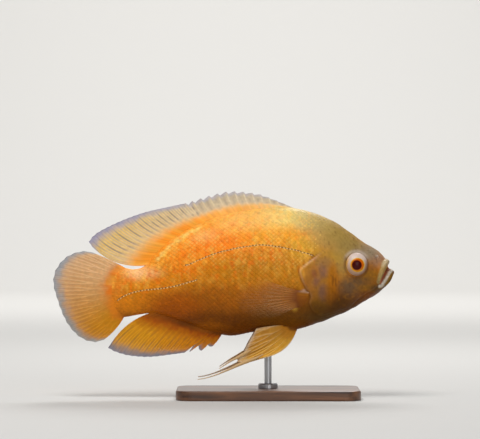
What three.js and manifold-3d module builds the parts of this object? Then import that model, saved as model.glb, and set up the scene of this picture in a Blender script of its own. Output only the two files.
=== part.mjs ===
// A life-size oscar, a deep-bodied aquarium cichlid, swimming level on a plain display stand.
// Millimetres, +Z up. The snout points along +X and the fish's right side faces -Y.
// The floor is z = 0 and the stand's rod rises through x = 0, y = 0. Inside the fish group the origin is
// where the rod meets the belly.
import * as THREE from "three";
import { mergeVertices } from "three/addons/utils/BufferGeometryUtils.js";
import Module from "manifold-3d";

const wasm = await Module();
wasm.setup();

// Driving dimensions
const BELLY_HEIGHT = 56.7; // floor to the belly where the rod meets it
const GAP = 0.3; // between pieces that touch
const ROD_RADIUS = 3;
const ROD_SOCKET_DEPTH = 9; // how far the rod goes up into the belly
const BASE = { length: 150, width: 84, thickness: 8, corner: 12, bevel: 1.2 };
const COLLAR = { radius: 8, height: 4, bevel: 1 };
const BODY_SIDES = 32; // points round each section of the body
const STEPS_PER_RIB = 2;
const FAR = 200; // longer than anything on the fish

// The body's ribs from the tail root to the snout. Each is a slanted section that stands on two points of
// the outline: top x and z, bottom x and z, half width, how far up it is widest, and how full its top and
// bottom halves are, where 2 is an ellipse and less is narrower towards the edge.
const RIBS = [
  [-137, 50.0, -136, 10.0, 0.8, 0.52, 2.0, 2.0],
  [-120, 50.3, -119, 9.6, 3.3, 0.52, 2.0, 2.0],
  [-109, 49.0, -106.5, 11.6, 6.8, 0.52, 2.0, 2.0],
  [-100, 52.6, -95, 13.0, 9.6, 0.52, 1.9, 2.0],
  [-88.6, 65.6, -84.5, 10.6, 13.2, 0.52, 1.8, 1.9],
  [-72.2, 78.4, -68, 5.0, 17.6, 0.52, 1.75, 1.9],
  [-51.7, 88.6, -49.2, -1.4, 21.4, 0.52, 1.75, 2.0],
  [-31.2, 95.2, -31.2, -5.5, 23.8, 0.5, 1.8, 2.0],
  [-10.7, 98.6, -13.1, -2.6, 24.8, 0.5, 1.8, 2.1],
  [9.8, 99.7, 4.9, -0.1, 25.0, 0.5, 1.85, 2.1],
  [26.2, 98.2, 23, -0.4, 24.6, 0.49, 1.9, 2.1],
  [41, 93.9, 39.4, 4.4, 23.6, 0.49, 1.95, 2.0],
  [54.9, 87.6, 54.1, 9.7, 22.2, 0.5, 2.0, 1.95],
  [67.2, 79.4, 67.2, 15.7, 20.2, 0.5, 2.05, 1.9],
  [77.1, 71.8, 78.7, 22.6, 18.2, 0.49, 2.1, 1.9],
  [85.3, 67.2, 87.7, 28.8, 16.0, 0.46, 2.1, 1.95],
  [91.8, 62.6, 94.8, 35.1, 13.2, 0.45, 2.1, 2.0],
  [95.4, 58.4, 98.2, 39.4, 10.4, 0.46, 2.1, 2.0],
  [97.4, 54.8, 99.4, 43.4, 7.0, 0.48, 2.0, 2.0],
  [98.2, 51.4, 99.2, 47.6, 2.6, 0.5, 2.0, 2.0],
];

// Where the body is parted. Each line runs through x, z points, from above the fish to below it.
const HEAD_LINE = [[47, 110], [42, 92], [38, 70], [37, 45], [39, 25], [42, 5], [44, -20]];
const JAW_LINE = [
  [115, 51.2], [100.4, 51.2], [96.2, 46.4], [91.4, 38], [80.4, 29.4], [70, 21], [64.5, 9], [63, -20],
];
const PEDUNCLE_X = -92; // the tail's stalk starts here
const TAIL_ROOT = { x: -93, z: 30.5, radius: 33.5 }; // the round end of the flesh inside the tail fin

// Head details
const EYE = { x: 71.6, z: 53, halfWidth: 8.9, halfHeight: 9.4, halfDepth: 5.6, sunk: 1.9, tiltUp: 0.1 };
const EYE_RIM = { radius: 9.5, thickness: 1.0 };
const NOSTRIL = { x: 88.6, z: 58.6, radius: 1.2 };
const UPPER_LIP = { path: [[90.6, 39.6], [92.4, 45.6], [94.3, 50.8], [96.0, 54.2]], front: [96.6, 55.3] };
const UPPER_LIP_RADIUS = { corner: 1.5, side: 2.4, front: 3.5 };
const LOWER_LIP = { path: [[92.2, 36.4], [94.6, 39.4], [97.2, 43.2], [98.6, 45.4]], front: [99.5, 46.9] };
const LOWER_LIP_RADIUS = { corner: 1.3, side: 2.0, front: 3.3 };

// The gill cover's outline as x, z points, anticlockwise seen from the fish's right side
const GILL_OUTLINE = [
  [57, 60], [50, 67], [44, 64], [36.5, 58.2], [29.5, 53], [25.2, 48.6], [26.6, 42], [30.2, 34.4],
  [34.4, 27.8], [33.4, 21.5], [37, 14.8], [44.5, 11], [52, 15.5], [57.6, 24.5], [60, 36], [59.4, 48],
];
const GILL_LIFT = { front: 0.9, rear: 2.3, frontX: 59, rearX: 28 };

// Fins. Roots are sunk into the flesh before they are cut back to its surface.
const WEB_HALF = { root: 0.45, edge: 0.26 }; // half the thickness of the skin between rays
const ROOT_SINK = 4;
const DORSAL = {
  spines: 13,
  softRays: 20,
  rootX: [22, 2, -24, -50, -68, -83, -94, -101],
  softRootX: -53,
  edge: [[20.7, 99.4], [4.6, 106.3], [-9.8, 111], [-30.7, 112.8], [-45.8, 109.8], [-62, 104.9]],
  softEdge: [
    [-67.5, 103], [-84.5, 99.4], [-101, 95.6], [-117.3, 89.9], [-132, 83.3], [-141.6, 77.8], [-147, 71.4],
    [-144.4, 67.6],
  ],
  spineHalf: 0.85,
  rayHalf: 0.62,
  sheathHalf: 1.6,
  sheathShare: 0.42,
  bow: { front: -0.04, rear: -0.12 }, // how far a ray bows, as a share of its length
  sway: 2.2,
};
const ANAL = {
  spines: 3,
  softRays: 16,
  rootX: [-38, -58, -78, -97],
  edge: [
    [-45.5, -14.3], [-55.6, -18.2], [-63, -18.8], [-80.4, -21.2], [-97, -23], [-113, -22], [-123.5, -19.3],
    [-131, -15.6], [-128.4, -11.6],
  ],
  spineHalf: 0.85,
  rayHalf: 0.62,
  sheathHalf: 1.5,
  sheathShare: 0.4,
  bow: { front: -0.04, rear: 0.09 },
  sway: -1.6,
};
const CAUDAL = {
  rays: 16,
  rootSpread: 0.68, // half the angle that the ray roots take up on the tail root's circle
  edge: [
    [-144, 62.6], [-151, 63.7], [-158.3, 62.4], [-165.6, 58.9], [-171.4, 53.1], [-175.1, 46.6], [-176.3, 40],
    [-175.5, 33], [-173, 25], [-170.1, 16.2], [-166.5, 8], [-161.9, 0.8], [-156.6, -5], [-149.2, -9.4],
    [-142, -10.8], [-134.5, -8.8],
  ],
  rayHalf: 0.8,
  bow: { top: 0.02, bottom: -0.06 },
  sway: 2.4,
};
const PECTORAL = {
  rays: 13,
  rootTop: [29, 31.5],
  rootBottom: [26, 19],
  edge: [[-8, 45], [-18.5, 41], [-25.2, 32.5], [-26.2, 23], [-21, 15], [-10.8, 10.8], [1.6, 9.7], [11.5, 12]],
  flare: 0.24, // how far the fin leaves the flank, for each millimetre that it runs back
  cup: 3,
  rayHalf: 0.6,
  rootHalf: 1.6,
};
// The belly fin as x, y, z points of the fish's left side, mirrored for the right
const PELVIC = {
  rootFront: [23.6, 4.5, 0.2],
  rootRear: [13.5, 9.4, 3.4],
  tips: [
    [1.6, 15.5, -21.8], [-19, 17.5, -27.2], [-25.6, 17.6, -26], [-21.2, 17, -20.4], [-16.6, 16, -11.5],
    [-9.8, 14.2, 0.8],
  ],
  bows: [-0.13, -0.1, -0.07, -0.04, -0.02, 0.03],
  rayHalf: 0.75,
  longFilament: [
    [-4, 16.2, -20], [-10.7, 16.9, -23.4], [-23, 17.8, -28.2], [-32.8, 18.4, -32.6], [-43.5, 18.8, -37],
    [-51.7, 19, -39.4], [-57.4, 19, -40.3],
  ],
  shortFilament: [
    [-14, 16.6, -16.6], [-19.5, 17, -19.6], [-24.5, 17.3, -22.4], [-30, 17.6, -25.2], [-35.4, 17.8, -28.6],
    [-39.8, 18, -31.6],
  ],
  filamentRadius: { root: 1.25, tip: 0.4 },
};

// Colours from the photograph, as albino gold with white-edged fins
const finish = (color, roughness, metalness = 0) => (
  new THREE.MeshStandardMaterial({ color, roughness, metalness })
);
const FLESH_ORANGE = finish(0xe8851c, 0.38);
const HEAD_OLIVE = finish(0xc4a55c, 0.4);
const GILL_GOLD = finish(0xc98a34, 0.38);
const TAIL_ORANGE = finish(0xec7f1e, 0.4);
const FIN_YELLOW = finish(0xe6a63c, 0.45);
const FIN_PALE = finish(0xd9c3a0, 0.45);
const EYE_RED = finish(0x7a1408, 0.08);
const WALNUT = finish(0x5b3a24, 0.5);
const STEEL = finish(0xb4b6b8, 0.28, 1);

const mix = THREE.MathUtils.lerp;
const flat = ([x, z]) => new THREE.Vector3(x, 0, z);
const spatial = ([x, y, z]) => new THREE.Vector3(x, y, z);
const curveThrough = (points) => new THREE.CatmullRomCurve3(points);

// A closed solid from a geometry: doubled points are merged, and the faces are turned to point outwards.
function solid(geometry) {
  const bare = geometry.clone();
  for (const name of Object.keys(bare.attributes)) {
    if (name !== "position") bare.deleteAttribute(name);
  }
  const merged = mergeVertices(bare, 1e-4);
  const vertices = merged.attributes.position.array;
  const triangles = new Uint32Array(merged.index.array);
  const corner = (i) => new THREE.Vector3().fromArray(vertices, triangles[i] * 3);
  let volume = 0;
  for (let i = 0; i < triangles.length; i += 3) volume += corner(i).dot(corner(i + 1).cross(corner(i + 2)));
  if (volume < 0) {
    for (let i = 0; i < triangles.length; i += 3) {
      [triangles[i + 1], triangles[i + 2]] = [triangles[i + 2], triangles[i + 1]];
    }
  }
  return new wasm.Manifold(new wasm.Mesh({ numProp: 3, vertProperties: vertices, triVerts: triangles }));
}

// The largest closed surface of a solid, as a geometry.
function geometryOf(cut) {
  const pieces = cut.decompose().sort((a, b) => b.volume() - a.volume());
  const mesh = pieces[0].getMesh();
  const geometry = new THREE.BufferGeometry();
  geometry.setAttribute("position", new THREE.BufferAttribute(new Float32Array(mesh.vertProperties), 3));
  geometry.setIndex(new THREE.BufferAttribute(new Uint32Array(mesh.triVerts), 1));
  geometry.computeVertexNormals();
  return geometry;
}

// The other side's copy of a geometry, mirrored in the fish's middle plane.
function mirrored(geometry) {
  const copy = geometry.clone().scale(1, -1, 1);
  const order = copy.index.array;
  for (let i = 0; i < order.length; i += 3) [order[i + 1], order[i + 2]] = [order[i + 2], order[i + 1]];
  copy.computeVertexNormals();
  return copy;
}

// A closed surface over rings of points, each ring as long as the last, with a point or a flat fan at each end.
function closedRings(rings, firstPole, lastPole) {
  const sides = rings[0].length;
  const points = [...rings.flat(), firstPole, lastPole];
  const first = points.length - 2;
  const last = points.length - 1;
  const index = [];
  const endRing = (rings.length - 1) * sides;
  for (let j = 0; j < sides; j++) {
    const next = (j + 1) % sides;
    for (let i = 0; i < rings.length - 1; i++) {
      const a = i * sides;
      const b = a + sides;
      index.push(a + j, a + next, b + j, a + next, b + next, b + j);
    }
    index.push(first, next, j, last, endRing + j, endRing + next);
  }
  const geometry = new THREE.BufferGeometry().setFromPoints(points);
  geometry.setIndex(index);
  return geometry;
}

// A rod of round section along a path, with a radius for each share of its length.
function taperedRod(path, radiusAt, steps, sides = 8) {
  const frames = path.computeFrenetFrames(steps, false);
  const rings = [];
  for (let i = 0; i <= steps; i++) {
    const share = i / steps;
    const centre = path.getPointAt(share);
    const ring = [];
    for (let j = 0; j < sides; j++) {
      const angle = (j / sides) * 2 * Math.PI;
      const out = frames.normals[i].clone().multiplyScalar(Math.cos(angle));
      out.addScaledVector(frames.binormals[i], Math.sin(angle));
      ring.push(centre.clone().addScaledVector(out, radiusAt(share)));
    }
    rings.push(ring);
  }
  const start = path.getPointAt(0).addScaledVector(frames.tangents[0], -0.6 * radiusAt(0));
  const end = path.getPointAt(1).addScaledVector(frames.tangents[steps], 0.6 * radiusAt(1));
  return solid(closedRings(rings, start, end));
}

// Everything inside an outline of x, z points, from one y to another.
function prism(outline, fromY, toY) {
  const shape = new THREE.Shape(outline.map(([x, z]) => new THREE.Vector2(x, z)));
  const geometry = new THREE.ExtrudeGeometry(shape, { depth: toY - fromY, bevelEnabled: false });
  return solid(geometry.rotateX(Math.PI / 2).translate(0, toY, 0));
}

// The body's outline and section curves, one knot for each rib
const topLine = curveThrough(RIBS.map(([x, z]) => flat([x, z])));
const bottomLine = curveThrough(RIBS.map((rib) => flat([rib[2], rib[3]])));
const widthLine = curveThrough(RIBS.map((rib) => new THREE.Vector3(rib[4], rib[5], 0)));
const fullnessLine = curveThrough(RIBS.map((rib) => new THREE.Vector3(rib[6], rib[7], 0)));

// The body's section at a share of the way from the tail root to the snout.
function ribAt(share) {
  const top = topLine.getPoint(share);
  const bottom = bottomLine.getPoint(share);
  const width = widthLine.getPoint(share);
  const fullness = fullnessLine.getPoint(share);
  return { top, bottom, halfWidth: width.x, widest: width.y, topPower: fullness.x, bottomPower: fullness.y };
}

// A closed ring round the body: a superellipse above the widest height and another below it.
function bodyRing(share, grow) {
  const rib = ribAt(share);
  const height = rib.top.distanceTo(rib.bottom);
  const up = rib.top.clone().sub(rib.bottom).normalize();
  const middle = rib.bottom.clone().addScaledVector(up, height * rib.widest);
  const ring = [];
  for (let j = 0; j < BODY_SIDES; j++) {
    const angle = (j / BODY_SIDES) * 2 * Math.PI;
    const rise = Math.cos(angle);
    const side = Math.sin(angle);
    const power = 2 / (rise > 0 ? rib.topPower : rib.bottomPower);
    const reach = height * (rise > 0 ? 1 - rib.widest : rib.widest) + grow;
    const point = middle.clone().addScaledVector(up, reach * Math.sign(rise) * Math.abs(rise) ** power);
    point.y = (rib.halfWidth + grow) * Math.sign(side) * Math.abs(side) ** power;
    ring.push(point);
  }
  return ring;
}

// The whole body, made larger all round by a distance that may change along x.
function bodySolid(growAt) {
  const steps = (RIBS.length - 1) * STEPS_PER_RIB;
  const rings = [];
  for (let i = 0; i <= steps; i++) {
    const share = i / steps;
    rings.push(bodyRing(share, growAt(topLine.getPoint(share).x)));
  }
  const centre = (ring) => ring.reduce((sum, p) => sum.add(p), new THREE.Vector3()).divideScalar(ring.length);
  const snout = centre(rings.at(-1));
  snout.x += 0.3 + growAt(snout.x);
  return solid(closedRings(rings, centre(rings[0]), snout));
}

// Half the body's width at a point of the side view, found on the rib that passes through it.
function sideAt(x, z) {
  let low = 0;
  let high = 1;
  for (let i = 0; i < 40; i++) {
    const share = (low + high) / 2;
    const rib = ribAt(share);
    const up = rib.top.clone().sub(rib.bottom);
    if (up.x * (z - rib.bottom.z) > up.z * (x - rib.bottom.x)) high = share;
    else low = share;
  }
  const rib = ribAt(low);
  const height = rib.top.distanceTo(rib.bottom);
  const up = Math.hypot(x - rib.bottom.x, z - rib.bottom.z) / height;
  const above = up > rib.widest;
  const reach = Math.abs(up - rib.widest) / (above ? 1 - rib.widest : rib.widest);
  const power = above ? rib.topPower : rib.bottomPower;
  return reach >= 1 ? 0 : rib.halfWidth * (1 - reach ** power) ** (1 / power);
}

// The point of an outline curve that has a given x, by halving.
function pointAtX(line, x) {
  let low = 0;
  let high = 1;
  for (let i = 0; i < 40; i++) {
    const share = (low + high) / 2;
    if (line.getPoint(share).x < x) low = share;
    else high = share;
  }
  return line.getPoint(low);
}

// Fin columns. A column runs from a root to a tip, bows by a share of its length, and has half a thickness
// for each share of the way out.
const rayColumn = (root, tip, bow, half) => ({ root, tip, bow, half });

const taper = (from, to) => (v) => mix(from, to, v);

// Rays with one ridge each and webs between them. cuts gives where each web column stands between two rays,
// and how much of the neighbouring rays' reach it keeps.
function ridgedColumns(rays, cuts) {
  const columns = [];
  rays.forEach((ray, k) => {
    columns.push(ray);
    const next = rays[k + 1];
    if (!next) return;
    for (const [share, keep] of cuts) {
      const root = ray.root.clone().lerp(next.root, share);
      const tip = root.clone().lerp(ray.tip.clone().lerp(next.tip, share), keep);
      columns.push(rayColumn(root, tip, mix(ray.bow, next.bow, share), taper(WEB_HALF.root, WEB_HALF.edge)));
    }
  });
  return columns;
}

// Rays that fork in two half way out, with webs between them.
function forkedColumns(rays) {
  const columns = [];
  const edge = taper(WEB_HALF.root, WEB_HALF.edge);
  const along = (k, share) => {
    const ray = rays[k];
    const next = rays[Math.min(Math.max(k + Math.sign(share), 0), rays.length - 1)];
    const s = Math.abs(share);
    return [ray.root.clone().lerp(next.root, s), ray.tip.clone().lerp(next.tip, s), mix(ray.bow, next.bow, s)];
  };
  rays.forEach((ray, k) => {
    const forked = (v) => THREE.MathUtils.smoothstep(v, 0.35, 0.6);
    const stem = (v) => mix(ray.half(v), edge(v), forked(v));
    const branch = (v) => mix(edge(v), ray.half(v) * 0.85, forked(v));
    if (k > 0) columns.push(rayColumn(...along(k, -0.27), branch));
    columns.push(rayColumn(...along(k, 0), k > 0 && k < rays.length - 1 ? stem : ray.half));
    if (k < rays.length - 1) {
      columns.push(rayColumn(...along(k, 0.27), branch));
      columns.push(rayColumn(...along(k, 0.5), edge));
    }
  });
  return columns;
}

// A thin closed fin from its columns. normal is the fin's thickness direction, and sway moves a point along it
// for its place across (u) and out (v). Both faces are split into the same triangles.
function finSolid({ columns, stations, normal, sway = () => 0, sheath = () => 0 }) {
  const rows = stations.length + 1;
  const points = [[], []];
  columns.forEach((column, i) => {
    const reach = column.tip.clone().sub(column.root);
    const length = reach.length();
    const bend = new THREE.Vector3().crossVectors(normal, reach).setLength(length);
    const heel = column.root.clone().addScaledVector(reach, -ROOT_SINK / length);
    const path = [heel, ...stations.map((v) => {
      const point = column.root.clone().addScaledVector(reach, v);
      return point.addScaledVector(bend, column.bow * 4 * v * (1 - v));
    })];
    path.forEach((point, j) => {
      const v = j === 0 ? 0 : stations[j - 1];
      const half = column.half(v) + sheath(v);
      point.addScaledVector(normal, sway(i / (columns.length - 1), v));
      points[0].push(point.clone().addScaledVector(normal, half));
      points[1].push(point.clone().addScaledVector(normal, -half));
    });
  });
  const back = points[0].length;
  const index = [];
  const wall = (a, b) => index.push(a, b, b + back, a, b + back, a + back);
  for (let i = 0; i < columns.length - 1; i++) {
    for (let j = 0; j < rows - 1; j++) {
      const a = i * rows + j;
      const b = a + rows;
      index.push(a, a + 1, b + 1, a, b + 1, b);
      index.push(a + back, b + 1 + back, a + 1 + back, a + back, b + back, b + 1 + back);
    }
    wall(i * rows, (i + 1) * rows);
    wall((i + 1) * rows + rows - 1, i * rows + rows - 1);
  }
  for (let j = 0; j < rows - 1; j++) {
    wall(j + 1, j);
    wall((columns.length - 1) * rows + j, (columns.length - 1) * rows + j + 1);
  }
  const geometry = new THREE.BufferGeometry().setFromPoints([...points[0], ...points[1]]);
  geometry.setIndex(index);
  return solid(geometry);
}

const SIDEWAYS = new THREE.Vector3(0, 1, 0);
const body = bodySolid(() => 0);
const bodyWithGap = bodySolid(() => GAP);

// The flesh on one side of a line of x, z points: an outline that closes far off in x.
function sideOf(line, farX, shift) {
  const moved = line.map(([x, z]) => [x + shift, z]);
  return [...moved, [farX, line.at(-1)[1]], [farX, line[0][1]]];
}

// Everything behind a given x.
const behind = (x) => prism([[-FAR, -FAR], [x, -FAR], [x, FAR], [-FAR, FAR]], -FAR, FAR);

// The eyes: flattened balls set into the head, turned a little upwards.
function eyeBall(grow) {
  const depth = sideAt(EYE.x, EYE.z) - EYE.sunk;
  const ball = new THREE.SphereGeometry(1, 20, 12);
  ball.scale(EYE.halfWidth + grow, EYE.halfDepth + grow, EYE.halfHeight + grow);
  return ball.rotateX(EYE.tiltUp).translate(EYE.x, depth, EYE.z);
}

// The fold of skin round an eye.
function eyeRim() {
  const ring = new THREE.TorusGeometry(EYE_RIM.radius, EYE_RIM.thickness, 6, 24);
  ring.scale(EYE.halfWidth / EYE.halfHeight, 1, 1).rotateX(Math.PI / 2 + EYE.tiltUp);
  return ring.translate(EYE.x, sideAt(EYE.x, EYE.z) - 0.9, EYE.z);
}

// A lip: a rod that rises from one mouth corner, rounds the snout and comes down to the other.
function lip({ path, front }, radius) {
  const half = path.map(([x, z]) => new THREE.Vector3(x, sideAt(x, z), z));
  const other = half.map((p) => new THREE.Vector3(p.x, -p.y, p.z)).reverse();
  const line = curveThrough([...half, new THREE.Vector3(front[0], 0, front[1]), ...other]);
  const width = (share) => {
    const fromCorner = 1 - Math.abs(2 * share - 1);
    const side = mix(radius.corner, radius.side, Math.min(1, fromCorner * 4));
    return mix(side, radius.front, THREE.MathUtils.smoothstep(fromCorner, 0.45, 1));
  };
  return taperedRod(line, width, 20, 9);
}

// The whole head in one piece, before the lower jaw is parted from it.
function headBlock() {
  let head = body.intersect(prism(sideOf(HEAD_LINE, FAR, GAP / 2), -FAR, FAR));
  head = head.add(lip(UPPER_LIP, UPPER_LIP_RADIUS)).add(lip(LOWER_LIP, LOWER_LIP_RADIUS));
  for (const turn of [(g) => g, mirrored]) {
    head = head.add(solid(turn(eyeRim())));
    head = head.subtract(solid(turn(eyeBall(GAP))));
    const pit = new THREE.SphereGeometry(NOSTRIL.radius, 10, 8);
    pit.translate(NOSTRIL.x, sideAt(NOSTRIL.x, NOSTRIL.z), NOSTRIL.z);
    head = head.subtract(solid(turn(pit)));
  }
  return head;
}

// All that lies below the line of the mouth and the jaw, moved up and back by a distance.
function belowMouth(shift) {
  const line = JAW_LINE.map(([x, z]) => [x - shift, z + shift]);
  return prism([...line, [FAR, line.at(-1)[1]], [FAR, line[0][1]]], -FAR, FAR);
}

// The cover over the gills: a plate that lies on the flank and stands off it towards its rear edge.
function gillCover() {
  const { front, rear, frontX, rearX } = GILL_LIFT;
  const share = (x) => THREE.MathUtils.clamp((frontX - x) / (frontX - rearX), 0, 1);
  const lifted = bodySolid((x) => mix(front, rear, share(x)));
  return lifted.intersect(prism(GILL_OUTLINE, 2, FAR)).subtract(bodyWithGap);
}

// The flesh of the trunk, with the blind hole that the stand's rod fits.
function torso() {
  const trunk = body.subtract(prism(sideOf(HEAD_LINE, FAR, -GAP / 2), -FAR, FAR));
  const hole = new THREE.CylinderGeometry(ROD_RADIUS + GAP, ROD_RADIUS + GAP, 2 * (ROD_SOCKET_DEPTH + GAP), 24);
  return trunk.subtract(behind(PEDUNCLE_X + GAP / 2)).subtract(solid(hole.rotateX(Math.PI / 2)));
}

// A disc across the fish, round the tail root's centre.
const tailRootDisc = (grow) => {
  const disc = new THREE.CylinderGeometry(TAIL_ROOT.radius + grow, TAIL_ROOT.radius + grow, FAR, 64);
  return solid(disc.translate(TAIL_ROOT.x, 0, TAIL_ROOT.z));
};

// The stalk of the tail, round-ended inside the tail fin.
function peduncle() {
  return body.intersect(tailRootDisc(0)).intersect(behind(PEDUNCLE_X - GAP / 2));
}

// The long fin of the back: spines with free tips in front, then soft rays that run back to a point.
function dorsalFin() {
  const root = curveThrough(DORSAL.rootX.map((x) => pointAtX(topLine, x)));
  const rootOf = (x) => {
    let low = 0;
    let high = 1;
    for (let i = 0; i < 30; i++) {
      const share = (low + high) / 2;
      if (root.getPointAt(share).x > x) low = share;
      else high = share;
    }
    return low;
  };
  const spineShare = rootOf(DORSAL.softRootX);
  const spineEdge = curveThrough(DORSAL.edge.map(flat));
  const softEdge = curveThrough(DORSAL.softEdge.map(flat));
  const spines = [];
  for (let k = 0; k < DORSAL.spines; k++) {
    const share = k / (DORSAL.spines - 1);
    const half = taper(DORSAL.spineHalf, 0.4);
    const base = root.getPointAt(share * spineShare * 0.96);
    spines.push(rayColumn(base, spineEdge.getPointAt(share), DORSAL.bow.front, half));
  }
  const soft = [];
  for (let k = 0; k < DORSAL.softRays; k++) {
    const share = k / (DORSAL.softRays - 1);
    const half = taper(DORSAL.rayHalf, 0.32);
    const bow = mix(DORSAL.bow.front, DORSAL.bow.rear, share);
    soft.push(rayColumn(root.getPointAt(mix(spineShare, 1, share)), softEdge.getPointAt(share), bow, half));
  }
  const front = ridgedColumns([...spines, soft[0]], [[0.22, 0.96], [0.78, 0.8]]).slice(0, -1);
  const rear = ridgedColumns(soft, [[0.5, 0.985]]);
  const sheath = (v) => DORSAL.sheathHalf * Math.max(0, 1 - v / DORSAL.sheathShare) ** 1.5;
  const sway = (u, v) => DORSAL.sway * v * THREE.MathUtils.smoothstep(u, 0.35, 1);
  const made = finSolid({
    columns: [...front, ...rear], stations: [0, 0.2, 0.42, 0.7, 1], normal: SIDEWAYS, sway, sheath,
  });
  return made.subtract(bodyWithGap);
}

// The fin under the tail's stalk, with three short spines in front.
function analFin() {
  const root = curveThrough(ANAL.rootX.map((x) => pointAtX(bottomLine, x)));
  const edge = curveThrough(ANAL.edge.map(flat));
  const count = ANAL.spines + ANAL.softRays;
  const rays = [];
  for (let k = 0; k < count; k++) {
    const spiny = k < ANAL.spines;
    const share = k / (count - 1);
    const edgeShare = spiny ? share * 1.9 : mix(share * 1.9, share, Math.min(1, (k - 1) / 5));
    const half = taper(spiny ? ANAL.spineHalf : ANAL.rayHalf, 0.34);
    const bow = mix(ANAL.bow.front, ANAL.bow.rear, share);
    rays.push(rayColumn(root.getPointAt(share), edge.getPointAt(Math.min(1, edgeShare)), bow, half));
  }
  const spiny = ridgedColumns(rays.slice(0, ANAL.spines + 1), [[0.24, 0.9], [0.76, 0.72]]).slice(0, -1);
  const soft = ridgedColumns(rays.slice(ANAL.spines), [[0.5, 0.985]]);
  const sheath = (v) => ANAL.sheathHalf * Math.max(0, 1 - v / ANAL.sheathShare) ** 1.5;
  const sway = (u, v) => ANAL.sway * v * THREE.MathUtils.smoothstep(u, 0.2, 1);
  const made = finSolid({
    columns: [...spiny, ...soft], stations: [0, 0.22, 0.45, 0.72, 1], normal: SIDEWAYS, sway, sheath,
  });
  return made.subtract(bodyWithGap);
}

// The tail fin: a rounded fan of forked rays.
function caudalFin() {
  const edge = curveThrough(CAUDAL.edge.map(flat));
  const rays = [];
  for (let k = 0; k < CAUDAL.rays; k++) {
    const share = k / (CAUDAL.rays - 1);
    const turn = mix(CAUDAL.rootSpread, -CAUDAL.rootSpread, share);
    const reach = TAIL_ROOT.radius - 0.5;
    const root = flat([TAIL_ROOT.x - reach * Math.cos(turn), TAIL_ROOT.z + reach * Math.sin(turn)]);
    const bow = mix(CAUDAL.bow.top, CAUDAL.bow.bottom, share);
    rays.push(rayColumn(root, edge.getPointAt(share), bow, taper(CAUDAL.rayHalf, 0.34)));
  }
  const sway = (u, v) => CAUDAL.sway * v * v * Math.cos(Math.PI * u);
  const made = finSolid({
    columns: forkedColumns(rays), stations: [0, 0.36, 0.55, 0.78, 1], normal: SIDEWAYS, sway,
  });
  return made.subtract(tailRootDisc(GAP));
}

// A breast fin on the fish's left flank: a soft fan that leaves the body behind the gill cover.
function pectoralFin() {
  const [top, bottom] = [PECTORAL.rootTop, PECTORAL.rootBottom];
  const rootY = sideAt(...top);
  const out = (x) => rootY + PECTORAL.flare * (top[0] - x);
  const edge = curveThrough(PECTORAL.edge.map(([x, z]) => new THREE.Vector3(x, out(x), z)));
  const rays = [];
  for (let k = 0; k < PECTORAL.rays; k++) {
    const share = k / (PECTORAL.rays - 1);
    const [x, z] = [mix(top[0], bottom[0], share), mix(top[1], bottom[1], share)];
    const root = new THREE.Vector3(x, sideAt(x, z) + 0.4, z);
    rays.push(rayColumn(root, edge.getPointAt(share), 0.05 * (2 * share - 1), taper(PECTORAL.rayHalf, 0.32)));
  }
  const normal = new THREE.Vector3(PECTORAL.flare, 1, 0).normalize();
  const sway = (u, v) => PECTORAL.cup * v * (1 - v) * 2 - PECTORAL.cup * v * (2 * u - 1) ** 2;
  const sheath = (v) => PECTORAL.rootHalf * Math.max(0, 1 - v / 0.22);
  const made = finSolid({
    columns: ridgedColumns(rays, [[0.5, 0.98]]), stations: [0, 0.16, 0.42, 0.72, 1], normal, sway, sheath,
  });
  return made.subtract(bodyWithGap);
}

// A belly fin on the fish's left: a forked blade whose outer rays run out into two threads.
function pelvicFin() {
  const front = spatial(PELVIC.rootFront);
  const rear = spatial(PELVIC.rootRear);
  const rays = PELVIC.tips.map((tip, k) => {
    const root = front.clone().lerp(rear, k / (PELVIC.tips.length - 1));
    return rayColumn(root, spatial(tip), PELVIC.bows[k], taper(PELVIC.rayHalf, 0.34));
  });
  const normal = new THREE.Vector3(0.2, 1, 0.35).normalize();
  let made = finSolid({ columns: forkedColumns(rays), stations: [0, 0.34, 0.58, 0.8, 1], normal });
  for (const points of [PELVIC.longFilament, PELVIC.shortFilament]) {
    const { root, tip } = PELVIC.filamentRadius;
    const radius = (share) => mix(root, tip, Math.min(1, share * 1.25));
    made = made.add(taperedRod(curveThrough(points.map(spatial)), radius, 13, 6));
  }
  return made.subtract(bodyWithGap);
}

// The stand's board, with rounded corners and a bevelled edge.
function standBase() {
  const { length, width, thickness, corner, bevel } = BASE;
  const [x, y] = [length / 2 - bevel, width / 2 - bevel];
  const shape = new THREE.Shape();
  shape.moveTo(corner - x, -y);
  shape.lineTo(x - corner, -y).absarc(x - corner, corner - y, corner, -Math.PI / 2, 0);
  shape.lineTo(x, y - corner).absarc(x - corner, y - corner, corner, 0, Math.PI / 2);
  shape.lineTo(corner - x, y).absarc(corner - x, y - corner, corner, Math.PI / 2, Math.PI);
  shape.lineTo(-x, corner - y).absarc(corner - x, corner - y, corner, Math.PI, 1.5 * Math.PI);
  const geometry = new THREE.ExtrudeGeometry(shape, {
    depth: thickness - 2 * bevel, bevelThickness: bevel, bevelSize: bevel, bevelSegments: 2, curveSegments: 4,
  });
  return solid(geometry.translate(0, 0, bevel));
}

// The rod with its foot collar, turned in one piece.
function standRod() {
  const top = BELLY_HEIGHT + ROD_SOCKET_DEPTH;
  const foot = BASE.thickness + GAP;
  const { radius, height, bevel } = COLLAR;
  const profile = [
    [0, foot], [radius, foot], [radius, foot + height - bevel], [radius - bevel, foot + height],
    [ROD_RADIUS, foot + height], [ROD_RADIUS, top - 0.5], [ROD_RADIUS - 0.5, top], [0, top],
  ];
  const lathe = new THREE.LatheGeometry(profile.map(([r, z]) => new THREE.Vector2(r, z)), 24);
  return solid(lathe.rotateX(Math.PI / 2));
}

const fish = new THREE.Group();
fish.position.z = BELLY_HEIGHT;
const stand = new THREE.Group();

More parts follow.
